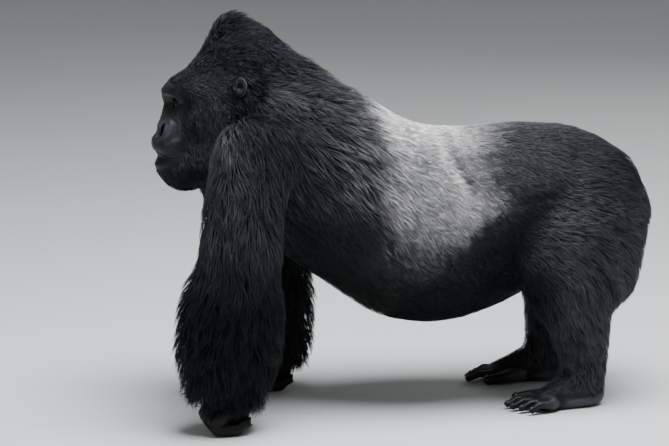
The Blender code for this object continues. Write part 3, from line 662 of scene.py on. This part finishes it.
# ---- Eyes -----------------------------------------------------------
# A wet dark ball with a raised clear front. The iris is deep brown with a black pupil, and what shows of the
# white is dark brown too.
wet_eye, tree, shader = new_material("wet brown eye")
spread = add_node(tree, "Attribute", {"attribute_name": "ring"}).outputs["Fac"]
where = add_node(tree, "TexCoord").outputs["Object"]
# The iris has flecks of 0.7 mm.
flecks = add_node(tree, "TexNoise", {"Scale": 1400.0, "Detail": 3.0}, Vector=where)
bands = add_node(tree, "ValToRGB", Fac=spread)
stops = bands.color_ramp.elements
stops[0].position, stops[0].color = 0.20, linear("#020202")
stops[1].position, stops[1].color = 0.24, linear("#1F1109")
for position, colour in ((0.42, "#2A180D"), (0.50, "#120A06"), (0.62, "#110B09"), (0.9, "#0B0706")):
    stops.new(position).color = linear(colour)
flecked = {"blend_type": "MULTIPLY", 0: 0.5}
mixed = add_node(tree, "MixRGB", flecked, i1=bands.outputs[0], i2=flecks.outputs[0])
tree.links.new(mixed.outputs[0], shader.inputs["Base Color"])
for socket, value in (("Roughness", 0.30), ("IOR", 1.376), ("Coat Weight", 0.12), ("Coat Roughness", 0.02),
                      ("Specular IOR Level", 0.3)):
    shader.inputs[socket].default_value = value
for side, name in ((-1, "left"), (1, "right")):
    middle, ahead = eye_ways[side]
    bm = bmesh.new()
    bmesh.ops.create_uvsphere(bm, u_segments=48, v_segments=40, radius=EYE_RADIUS - 0.1 * MM)
    ring = bm.verts.layers.float.new("ring")
    for point in bm.verts:
        spread = point.co.xy.length / EYE_RADIUS if point.co.z > 0 else 1.0
        point[ring] = spread
        point.co.z += 1.1 * MM * max(0.0, 1 - (spread / 0.55) ** 2)
    turn = Vector(ahead).to_track_quat("Z", "Y").to_matrix().to_4x4()
    bmesh.ops.transform(bm, matrix=Matrix.Translation(Vector(middle)) @ turn, verts=bm.verts[:])
    data = bpy.data.meshes.new("eyeball_" + name)
    bm.to_mesh(data)
    bm.free()
    data.shade_smooth()
    eyeball = show(data, "eyeball_" + name)
    data.materials.append(wet_eye)
    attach(eyeball, "root")
    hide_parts("eye_" + name)


# ---- Nails ----------------------------------------------------------
# Flat nails of black horn with a dull shine, one on the back of each fingertip but the thumb's, and of each
# toe. The fingers are folded, so their nails face down and back, and the toes' nails face up and forwards.
horn, tree, shader = new_material("black horn")
where = add_node(tree, "TexCoord").outputs["Object"]
# Horn has a faint grain of about 4 mm.
long_grain = add_node(tree, "TexNoise", {"Scale": 260.0, "Detail": 3.0}, Vector=where)
horn_blacks = {"Color1": linear("#080808"), "Color2": linear("#1C1A19")}
tint = add_node(tree, "MixRGB", horn_blacks, Fac=long_grain.outputs[0])
tree.links.new(tint.outputs[0], shader.inputs["Base Color"])
bump = add_node(tree, "Bump", {"Strength": 0.3, "Distance": 0.0003}, Height=long_grain.outputs[0])
tree.links.new(bump.outputs[0], shader.inputs["Normal"])
shader.inputs["Roughness"].default_value = 0.42
WRISTS = {-1: Vector((-0.5176, -0.2461, 0)), 1: Vector((-0.3006, 0.2389, 0))}
ANKLES = {-1: Vector((0.4724, -0.1661, 0)), 1: Vector((0.4524, 0.1589, 0))}
FINGER_GAP, FINGER_THICK, TOE_GAP, TOE_THICK, BIG_TOE_THICK = 0.0395, 0.0159, 0.0275, 0.0120, 0.0160


def nail(bm, tip, along, outwards, thick):
    """A shield of horn, curved over the back of a digit of this thickness."""
    ball = bmesh.ops.create_uvsphere(bm, u_segments=16, v_segments=10, radius=1.0)["verts"]
    bmesh.ops.scale(bm, vec=(thick * 0.62, thick * 0.58, thick * 0.16), verts=ball)
    for point in ball:
        point.co.z -= 0.35 * point.co.y**2 / thick
    along = (along - outwards * along.dot(outwards)).normalized()
    turn = Matrix((along, outwards.cross(along), outwards)).transposed().to_4x4()
    seat = tip + outwards * thick * 0.74 - along * thick * 0.12
    bmesh.ops.transform(bm, matrix=Matrix.Translation(seat) @ turn, verts=ball)


for side, name in ((-1, "left"), (1, "right")):
    fingers, toes = bmesh.new(), bmesh.new()
    for k in range(4):
        tip = WRISTS[side] + Vector((0.030, -side * FINGER_GAP * (1.5 - k), 0.036))
        nail(fingers, tip, Vector((0.82, 0, 0.57)), Vector((0.57, 0, -0.82)), FINGER_THICK)
    turned = Matrix.Rotation(-side * math.radians(9), 3, "Z")
    toe_back = (turned @ Vector((-0.55, 0, 0.62))).normalized()
    for k, share in enumerate((0.98, 1.0, 0.90, 0.74)):
        aside = side * (TOE_GAP * (k - 1.5) + 0.012)
        tip = Vector((-0.138 + 0.004 * k - 0.076 * share, aside * (1 + 0.10), 0.013))
        nail(toes, ANKLES[side] + turned @ tip, turned @ Vector((-1, 0, -0.5)), toe_back, TOE_THICK)
    big = ANKLES[side] + turned @ Vector((-0.164, -side * 0.078, 0.018))
    nail(toes, big, turned @ Vector((-1, 0, -0.3)), toe_back, BIG_TOE_THICK)
    for bm, what in ((fingers, "finger_nails_"), (toes, "toe_nails_")):
        data = bpy.data.meshes.new(what + name)
        bm.to_mesh(data)
        bm.free()
        data.shade_smooth()
        data.materials.append(horn)
        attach(show(data, what + name), "root")

# ---- Coat: how it lies ----------------------------------------------
# The coat is combed by a few dozen places on head and trunk, and along the bones of the limbs. Each gives the
# way the hair runs, its length, its height above the skin, the width of a tuft, and how freely it hangs.
HEAD_COMB = (  # (x, out, z), way (x, out, z), length mm, height mm, width mm, freedom
    ((-0.622, 0.020, 0.935), (0.75, 0.05, 0.60), 16, 5, 1.4, 0.1),
    ((-0.600, 0.055, 0.915), (0.85, 0.20, 0.35), 16, 5, 1.4, 0.1),
    ((-0.570, 0.000, 0.985), (0.55, 0.00, 0.85), 30, 11, 1.7, 0.3),
    ((-0.530, 0.000, 1.040), (0.40, 0.00, 0.95), 36, 18, 1.8, 0.5),
    ((-0.490, 0.000, 1.070), (0.45, 0.00, 0.80), 42, 24, 1.7, 0.8),
    ((-0.450, 0.000, 1.072), (0.85, 0.00, 0.35), 44, 22, 1.8, 0.5),
    ((-0.420, 0.000, 1.055), (0.95, 0.00, -0.10), 46, 18, 2.1, 0.2),
    ((-0.390, 0.000, 1.030), (0.80, 0.00, -0.55), 52, 18, 2.2, 0.1),
    ((-0.540, 0.060, 1.000), (0.75, -0.10, 0.60), 28, 11, 1.9, 0.1),
    ((-0.470, 0.080, 0.990), (0.95, 0.00, -0.05), 36, 13, 2, 0.1),
    ((-0.420, 0.080, 0.970), (0.75, 0.00, -0.60), 44, 16, 2.1, 0.1),
    ((-0.560, 0.080, 0.920), (0.90, 0.10, 0.25), 22, 8, 1.6, 0.1),
    ((-0.510, 0.100, 0.930), (0.90, 0.00, -0.30), 27, 9, 1.7, 0.1),
    ((-0.570, 0.075, 0.850), (0.50, 0.10, -0.80), 22, 8, 1.6, 0.1),
    ((-0.530, 0.100, 0.840), (0.35, 0.00, -1.00), 30, 10, 1.7, 0.1),
    ((-0.568, 0.070, 0.770), (0.40, 0.10, -0.95), 22, 8, 1.6, 0.1),
    ((-0.520, 0.100, 0.760), (0.30, 0.00, -1.00), 36, 12, 1.9, 0.2),
    ((-0.440, 0.110, 0.900), (0.50, 0.00, -0.85), 42, 16, 2, 0.1),
    ((-0.420, 0.100, 0.820), (0.40, 0.00, -1.00), 50, 18, 2.1, 0.1),
    ((-0.655, 0.020, 0.665), (0.30, 0.05, -0.95), 12, 4, 1.4, 0.1),
    ((-0.620, 0.045, 0.645), (0.50, 0.05, -0.85), 20, 8, 1.6, 0.3),
    ((-0.570, 0.070, 0.680), (0.45, 0.00, -0.90), 30, 11, 1.9, 0.2),
    ((-0.600, 0.000, 0.610), (0.80, 0.00, -0.60), 26, 9, 1.9, 0.2),
    ((-0.530, 0.040, 0.640), (0.70, 0.00, -0.70), 36, 12, 2, 0.1),
)
TRUNK_COMB = (
    ((-0.360, 0.000, 0.980), (0.85, 0.00, -0.50), 62, 22, 2.4, 0.1),
    ((-0.360, 0.100, 0.930), (0.75, 0.00, -0.65), 62, 22, 2.4, 0.1),
    ((-0.250, 0.000, 0.930), (0.85, 0.00, -0.50), 56, 20, 2.4, 0.0),
    ((-0.330, 0.170, 0.870), (0.80, 0.05, -0.55), 42, 16, 2.1, 0.0),
    ((-0.400, 0.180, 0.830), (0.55, 0.10, -0.80), 66, 20, 2.4, 0.1),
    ((-0.450, 0.195, 0.800), (0.25, 0.80, -0.50), 56, 14, 2.4, 0.0),
    ((-0.470, 0.270, 0.740), (0.20, 0.30, -0.90), 70, 16, 2.4, 0.0),
    ((-0.240, 0.200, 0.840), (0.75, 0.10, -0.65), 72, 20, 2.5, 0.0),
    ((-0.150, 0.240, 0.760), (0.75, 0.00, -0.65), 74, 16, 2.4, 0.0),
    ((-0.150, 0.000, 0.850), (0.90, 0.00, -0.45), 50, 16, 2.2, 0.0),
    ((-0.090, 0.270, 0.660), (0.68, 0.00, -0.72), 50, 11, 2, 0.0),
    ((-0.520, 0.050, 0.620), (0.30, 0.00, -1.00), 50, 16, 2.2, 0.2),
    ((-0.500, 0.150, 0.680), (0.30, 0.00, -1.00), 66, 20, 2.4, 0.2),
    ((-0.260, 0.250, 0.620), (0.62, 0.00, -0.78), 50, 10, 2, 0.0),
    ((-0.240, 0.250, 0.500), (0.60, 0.00, -0.80), 20, 4, 1.4, 0.0),
    ((-0.200, 0.200, 0.420), (0.70, 0.00, -0.70), 20, 4, 1.4, 0.0),
    ((-0.100, 0.000, 0.370), (1.00, 0.00, -0.10), 26, 6, 1.7, 0.1),
    ((0.100, 0.000, 0.330), (1.00, 0.00, 0.00), 28, 8, 1.7, 0.1),
    ((0.250, 0.150, 0.380), (0.80, 0.00, -0.60), 30, 9, 1.7, 0.1),
    ((-0.040, 0.000, 0.790), (1.00, 0.00, -0.30), 24, 5, 1.5, 0.0),
    ((0.100, 0.000, 0.770), (1.00, 0.00, -0.05), 19, 3, 1.3, 0.0),
    ((0.100, 0.200, 0.680), (0.78, 0.00, -0.62), 19, 2.5, 1.3, 0.0),
    ((0.050, 0.270, 0.500), (0.65, 0.00, -0.75), 19, 2.5, 1.3, 0.0),
    ((0.100, 0.220, 0.400), (0.75, 0.00, -0.65), 21, 3.5, 1.4, 0.0),
    ((0.300, 0.000, 0.775), (1.00, 0.00, -0.10), 22, 4, 1.5, 0.0),
    ((0.300, 0.200, 0.650), (0.75, 0.00, -0.65), 22, 4, 1.5, 0.0),
    ((0.450, 0.000, 0.740), (0.80, 0.00, -0.60), 30, 8, 1.7, 0.1),
    ((0.450, 0.150, 0.680), (0.75, 0.00, -0.65), 30, 8, 1.7, 0.1),
    ((0.540, 0.150, 0.590), (0.85, 0.00, -0.50), 38, 12, 1.9, 0.1),
    ((0.600, 0.000, 0.550), (0.10, 0.00, -1.00), 46, 16, 2.1, 0.2),
)
LIMBS = {  # shoulder, elbow and wrist, or hip, knee and ankle
    "arm_left": ((-0.4526, -0.2241, 0.705), (-0.5006, -0.2861, 0.450), (-0.5176, -0.2461, 0.150)),
    "arm_right": ((-0.4276, 0.2319, 0.705), (-0.3326, 0.2889, 0.445), (-0.3006, 0.2389, 0.150)),
    "leg_left": ((0.4974, -0.1161, 0.555), (0.3724, -0.1911, 0.375), (0.4724, -0.1661, 0.090)),
    "leg_right": ((0.5074, 0.1239, 0.555), (0.4574, 0.1839, 0.370), (0.4524, 0.1589, 0.090)),
}


def combed(places, comb):
    """Way, length, height, width and freedom at places on either side, blended from the nearest combs."""
    side = np.sign(places[:, 1] - MIDDLE_Y)
    folded = np.column_stack((places[:, 0], out_from_middle(places), places[:, 2]))
    seats = np.array([c[0] for c in comb])
    values = np.array([tuple(unit(np.array(c[1]))) + tuple(c[2:]) for c in comb])
    gap = ((folded[:, None] - seats[None]) ** 2).sum(2)
    weight = 1 / (gap + 0.02**2) ** 2
    made = (weight / weight.sum(1, keepdims=True)) @ values
    made[:, 1] *= side
    return made


lay = np.zeros((len(points), 7))
for solids_named, comb in ((("head", "lower_jaw", "ear", "eye"), HEAD_COMB),
                           (TRUNK, TRUNK_COMB)):
    chosen = named(labels, *solids_named)
    lay[chosen] = combed(points[chosen], comb)
for limb, (top, bend, end) in LIMBS.items():
    top, bend, end = np.array(top), np.array(bend), np.array(end)
    upper, lower = (("upper_arm",), ("forearm",) + HAND) if "arm" in limb else (("thigh",), ("shank",) + FOOT)
    side = np.sign(points[:, 1] - MIDDLE_Y) == (-1 if "left" in limb else 1)
    for solids_named, a, b in ((upper, top, bend), (lower, bend, end)):
        chosen = named(labels, *solids_named) & side
        p = points[chosen]
        step = b - a
        along = ((p - a) @ step / (step @ step)).clip(-0.2, 1.3)
        radial = unit((p - a - along[:, None] * step) * (1, 1, 0))
        rear, none = radial[:, 0], np.zeros(len(p))
        if solids_named[0] == "upper_arm":
            way = unit(step) + np.column_stack((0.22 + 0.30 * rear, none, none))
            values = (78 + 30 * along, 20 + 6 * along, none + 2.3, 0.05 + 0.45 * ramp(along, 0.75, 1.05))
        elif solids_named[0] == "forearm":
            way = unit(step) + radial * 0.30
            values = (96 - 18 * along, 26 + 6 * along, none + 2.5, 0.55 + 0.25 * along)
        elif solids_named[0] == "thigh":
            level = ramp(p[:, 2], 0.34, 0.50)  # the outer thigh's hair sweeps back, the knee's runs down
            way = np.column_stack((0.50 + 0.75 * level, none, -1 + 0.62 * level))
            values = (40 + 18 * rear.clip(0), 11 + 4 * rear.clip(0), none + 1.8, 0.15 + 0.2 * rear.clip(0))
        else:
            way = np.column_stack((0.35 + 0.15 * rear, 0.15 * radial[:, 1], none - 1))
            values = (46 - 8 * along, 14 - 3 * along, none + 1.9, none + 0.30)
        lay[chosen] = np.column_stack((unit(way),) + values)
for solids_named, way, values in ((HAND, (-0.15, 0, -1), (14, 3, 1.5, 0.1)),
                                  (FOOT, (-0.9, 0, -0.4), (14, 4, 1.5, 0.1))):
    lay[named(labels, *solids_named)] = np.array(tuple(unit(np.array(way, float))) + values)
chosen = named(labels, "upper_arm")  # the shoulder's hair runs on from the neck
mixed = ramp(points[chosen, 2], 0.62, 0.76)[:, None]
lay[chosen] = lay[chosen] * (1 - mixed) + combed(points[chosen], TRUNK_COMB) * mixed
lay = eased(lay, edges, 24)
flow = lay[:, :3] - normals * (lay[:, :3] * normals).sum(1, keepdims=True)
lay[:, :3] = unit(flow)

# ---- Coat: its tufts ------------------------------------------------
# Each tuft is a closed three-sided blade that starts at the skin, follows the body for a way and ends in a
# point. Long hair gathers in locks, whose tips lean together. The blades of a part are joined in one mesh.
skin_surface = surface_of(skin)
faces3 = np.array([(f.vertices[0], f.vertices[k], f.vertices[k + 1])
                   for f in skin.data.polygons for k in range(1, len(f.vertices) - 1)])
corner_a, corner_b, corner_c = (points[faces3[:, k]] for k in range(3))
areas = np.linalg.norm(np.cross(corner_b - corner_a, corner_c - corner_a), axis=1) / 2
first_corner = np.array([f.vertices[0] for f in skin.data.polygons])

# The map that colours are kept on is an unwrap of a plain copy of the skin.
PLAIN_TRIANGLES = 9000
PATCH = 0.003  # how wide a tuft is on the map
plain = skin.copy()
plain.data = skin.data.copy()
bpy.context.scene.collection.objects.link(plain)
coarser = plain.modifiers.new("coarser", "DECIMATE")
coarser.ratio = PLAIN_TRIANGLES / len(faces3)
settle(plain)
bpy.ops.object.select_all(action="DESELECT")
plain.select_set(True)
bpy.context.view_layer.objects.active = plain
bpy.ops.object.mode_set(mode="EDIT")
bpy.ops.mesh.select_all(action="SELECT")
bpy.ops.mesh.quads_convert_to_tris()
bpy.ops.uv.smart_project(angle_limit=math.radians(66), island_margin=0.004)
bpy.ops.object.mode_set(mode="OBJECT")
plain_surface = surface_of(plain)
plain_points = points_of(plain.data)
plain_corners = np.array([tuple(p.vertices) for p in plain.data.polygons])
plain_uv = read(plain.data.uv_layers.active.data, "uv", 2).reshape(-1, 3, 2)
bpy.data.objects.remove(plain)


def on_map(places):
    """Where places on the skin lie on the unwrap."""
    face = np.array([plain_surface.find_nearest(p)[2] for p in places.tolist()])
    a, b, c = (plain_points[plain_corners[face, k]] for k in range(3))
    u, v, w = b - a, c - a, places - a
    uu, uv, vv, wu, wv = (u * u).sum(1), (u * v).sum(1), (v * v).sum(1), (w * u).sum(1), (w * v).sum(1)
    below = (uu * vv - uv * uv).clip(1e-18)
    s, t = ((vv * wu - uv * wv) / below).clip(0, 1), ((uu * wv - uv * wu) / below).clip(0, 1)
    over = (s + t).clip(1)
    s, t = (s / over)[:, None], (t / over)[:, None]
    return plain_uv[face, 0] * (1 - s - t) + plain_uv[face, 1] * s + plain_uv[face, 2] * t


fur, tree, shader = new_material("gorilla fur")
silver_and_crease_light_part, along, tone, across = (
    add_node(tree, "Attribute", {"attribute_name": name}).outputs["Fac"]
    for name in ("silver", "along", "tone", "across")
)
# Hair with a dull sheen. Black and silver hair are painted darker towards the root, as painted shade among
# the tufts, and silver hair is almost white at the tip. Each tuft has a tone of its own, darkened by the
# coat's painted shade, and fine ridges run along it.
black = add_node(tree, "MixRGB", {"Color1": linear("#08080A"), "Color2": linear("#2E3239")}, Fac=along)
pale = add_node(tree, "MixRGB", {"Color1": linear("#B0AEAC"), "Color2": linear("#FFFEFC")}, Fac=along)
tinted = add_node(tree, "MixRGB", Fac=silver_and_crease_light_part, Color1=black.outputs[0], Color2=pale.outputs[0])
shade = add_node(tree, "MapRange", {3: 0.15, 4: 1.7}, i0=tone)
shaded = add_node(tree, "VectorMath", {"operation": "SCALE"}, i0=tinted.outputs[0], Scale=shade.outputs[0])
tree.links.new(shaded.outputs[0], shader.inputs["Base Color"])
strands = add_node(tree, "MapRange", {3: 0.0, 4: 28.0}, i0=across)
ridges = add_node(tree, "Math", {"operation": "SINE"}, i0=strands.outputs[0])
bump = add_node(tree, "Bump", {"Strength": 0.35, "Distance": 0.0004}, Height=ridges.outputs[0])
tree.links.new(bump.outputs[0], shader.inputs["Normal"])
for socket, value in (("Roughness", 0.50), ("Specular IOR Level", 0.10), ("IOR", 1.55),
                      ("Sheen Weight", 0.03), ("Sheen Roughness", 0.5), ("Sheen Tint", linear("#9AA2B4"))):
    shader.inputs[socket].default_value = value
TUFTS_IN_LOCK = 9
BURIED = 0.6 * MM  # how deep a tuft's root sits
CREST_X, CREST_Z = -0.478, 1.070  # the top of the skull, where the hair stands up


def at_corners(values):
    """Values of each tuft at its root, bends and tip, given to the corners of its blade there."""
    return np.repeat(np.stack(values, 1), [3] * (len(values) - 1) + [1], axis=1)


def grow(name, chosen_points, number, bends, seed, slot):
    """Plants this many tufts, each of this many bends, over the skin's chosen points, as one piece."""
    draw = np.random.default_rng(seed)
    share = chosen_points[faces3].mean(1) * areas
    face = draw.choice(len(faces3), number, p=share / share.sum())
    s, t = draw.random(number), draw.random(number)
    fold = s + t > 1
    s[fold], t[fold] = 1 - s[fold], 1 - t[fold]
    weights = np.column_stack((1 - s - t, s, t))[:, :, None]
    root = (points[faces3[face]] * weights).sum(1)
    up = unit((normals[faces3[face]] * weights).sum(1))
    value = (lay[faces3[face]] * weights).sum(1)
    silver = silver_and_crease_light_share(root)
    wander = 0.20 * waves(root, 0.07, seed + 1) + 0.10 * waves(root, 0.022, seed + 2)
    wander = wander + draw.normal(0, 0.11, number)
    crest = np.exp(-(((root[:, 0] - CREST_X) / 0.028) ** 2) - ((root[:, 2] - CREST_Z) / 0.030) ** 2)
    length, height, width, free = value[:, 3:].T
    length = length * MM * draw.uniform(0.70, 1.12, number) * (1 + 0.35 * crest)
    height = height * MM * draw.uniform(0.35, 1.05, number)
    width = width * MM * draw.uniform(0.75, 1.2, number)
    # The path: along the skin by the lie of the coat, and off it as the hair hangs free.
    centre = [root]
    spot, facing = root, up
    way = unit(value[:, :3])
    hang = np.array((0, 0, -1.0))
    loose = root + up * 0.5 * MM
    loft = np.radians(18 + 30 * free + 34 * crest)  # how steeply loose hair leaves the skin
    for k in range(bends):
        side_way = unit(np.cross(facing, way))
        turned = unit(way + side_way * wander[:, None])
        stepped = spot + turned * (length / bends)[:, None]
        found = [skin_surface.find_nearest(p) for p in stepped.tolist()]
        spot = np.array([f[0] for f in found])
        corner = first_corner[[f[2] for f in found]]
        facing = normals[corner]
        way = unit(lay[corner, :3] * 0.7 + turned * 0.3)
        way = unit(way - facing * (way * facing).sum(1, keepdims=True))
        lift = (k + 1) / bends
        lying = spot + facing * (height * (1 - (1 - lift) ** 2))[:, None]
        lean = turned * np.cos(loft)[:, None] + facing * np.sin(loft)[:, None]
        lean = unit(lean + hang * (0.55 * lift * free)[:, None])
        loose = loose + lean * (length / bends)[:, None]
        centre.append(lying * (1 - free)[:, None] + loose * free[:, None])
    # Locks: the tips of neighbours lean to a common one.
    locks = number // TUFTS_IN_LOCK
    leader = draw.choice(number, locks, replace=False)
    finder = KDTree(locks)
    for k, p in enumerate(root[leader].tolist()):
        finder.insert(p, k)
    finder.balance()
    nearest = np.array([finder.find(p)[1] for p in root.tolist()])
    head = leader[nearest]
    pull = (0.30 + 0.35 * np.clip(length / 0.08, 0, 1))[:, None]
    for k in range(1, bends + 1):
        lead = centre[k][head] + (root - root[head]) * 0.35
        near = np.linalg.norm(lead - centre[k], axis=1, keepdims=True) < length[:, None] * 0.6
        centre[k] = np.where(near, centre[k] + (lead - centre[k]) * pull * (k / bends) ** 1.5, centre[k])
    tone = np.clip(0.55 + 0.15 * draw.normal(size=locks)[nearest] + 0.13 * draw.normal(size=number), 0, 1)
    centre[0] = root - up * BURIED
    # Blades: a ring of three at the root and at each bend but the last, and a point.
    corners = []
    for k in range(bends):
        ahead = unit(centre[k + 1] - centre[max(k - 1, 0)])
        flat_way = unit(np.cross(ahead, up))
        top_way = unit(np.cross(flat_way, ahead))
        wide = (width * (0.55 if k == 0 else 1.0 - 0.35 * k / bends))[:, None] / 2
        corners += [centre[k] - flat_way * wide, centre[k] + flat_way * wide,
                    centre[k] + top_way * wide * 0.55]
    corners = np.stack(corners + [centre[bends]], 1)
    each = corners.shape[1]
    pattern = [(0, 1, 2)]
    for k in range(bends - 1):
        for a, b in ((0, 1), (1, 2), (2, 0)):
            a, b = 3 * k + a, 3 * k + b
            pattern += [(b, a, a + 3), (b, a + 3, b + 3)]
    last = 3 * (bends - 1)
    pattern += [(last + b, last + a, each - 1) for a, b in ((0, 1), (1, 2), (2, 0))]
    pattern = np.array(pattern)
    index = (pattern[None] + (np.arange(number) * each)[:, None, None]).reshape(-1).astype(np.int32)
    data = bpy.data.meshes.new(name)
    data.vertices.add(number * each)
    data.vertices.foreach_set("co", corners.astype(np.float32).ravel())
    data.loops.add(len(index))
    data.loops.foreach_set("vertex_index", index)
    data.polygons.add(len(index) // 3)
    data.polygons.foreach_set("loop_start", np.arange(0, len(index), 3, dtype=np.int32))
    data.polygons.foreach_set("use_smooth", np.ones(len(index) // 3, bool))
    data.update(calc_edges=True)
    along = at_corners([np.full(number, k / bends) for k in range(bends + 1)])
    across = np.tile((0.0, 1.0, 0.5) * bends + (0.5,), (number, 1))
    # Each tuft's own tone, darkened along its length by the coat's painted shade.
    tones_with_painted_shade = at_corners([tone * (1 - 0.95 * painted_shade_share(c)) for c in centre])
    if slot == "silver_fur":  # short hair keeps the edge of a marking, long hair carries it along
        silver = at_corners([silver_and_crease_light_share(c) for c in centre])
    else:
        silver = np.repeat(silver, each)
    for what, values in (("along", along), ("across", across), ("tone", tones_with_painted_shade), ("silver", silver)):
        store(data, what, values.ravel())
    spread = np.stack((across - 0.5, along - 0.5), 2) * PATCH
    placed = (on_map(root)[:, None, :] + spread).clip(0.0005, 0.9995).reshape(-1, 2)[index]
    data.uv_layers.new(name="OFBake").data.foreach_set("uv", placed.astype(np.float32).ravel())
    data.materials.append(fur)
    piece = show(data, name)
    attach(piece, "root")


covered = 1 - bare
left = points[:, 1] < MIDDLE_Y
on_trunk = named(labels, *TRUNK)
MANTLE_END, RUMP_START = -0.05, 0.30
front, rear = x < MANTLE_END, x >= RUMP_START
grow("coat_head", covered * named(labels, "head", "lower_jaw"), 18500, bends=2, seed=11, slot="black_fur")
grow("coat_mantle", covered * (on_trunk & front), 11200, bends=3, seed=12, slot="black_fur")
for side_name, on_side, seed in (("left", left, 20), ("right", ~left, 40)):
    flank = on_trunk & ~front & ~rear & on_side
    arm = named(labels, "upper_arm", "forearm", *HAND) & on_side
    leg = named(labels, "thigh", "shank", *FOOT) & on_side
    grow("coat_flank_" + side_name, covered * flank, 18500, bends=2, seed=seed + 1, slot="silver_fur")
    grow("coat_arm_" + side_name, covered * arm, 10800, bends=3, seed=seed + 2, slot="black_fur")
    grow("coat_leg_" + side_name, covered * leg, 15000, bends=2, seed=seed + 3, slot="black_fur")
grow("coat_rump", covered * (on_trunk & rear), 11500, bends=2, seed=60, slot="black_fur")
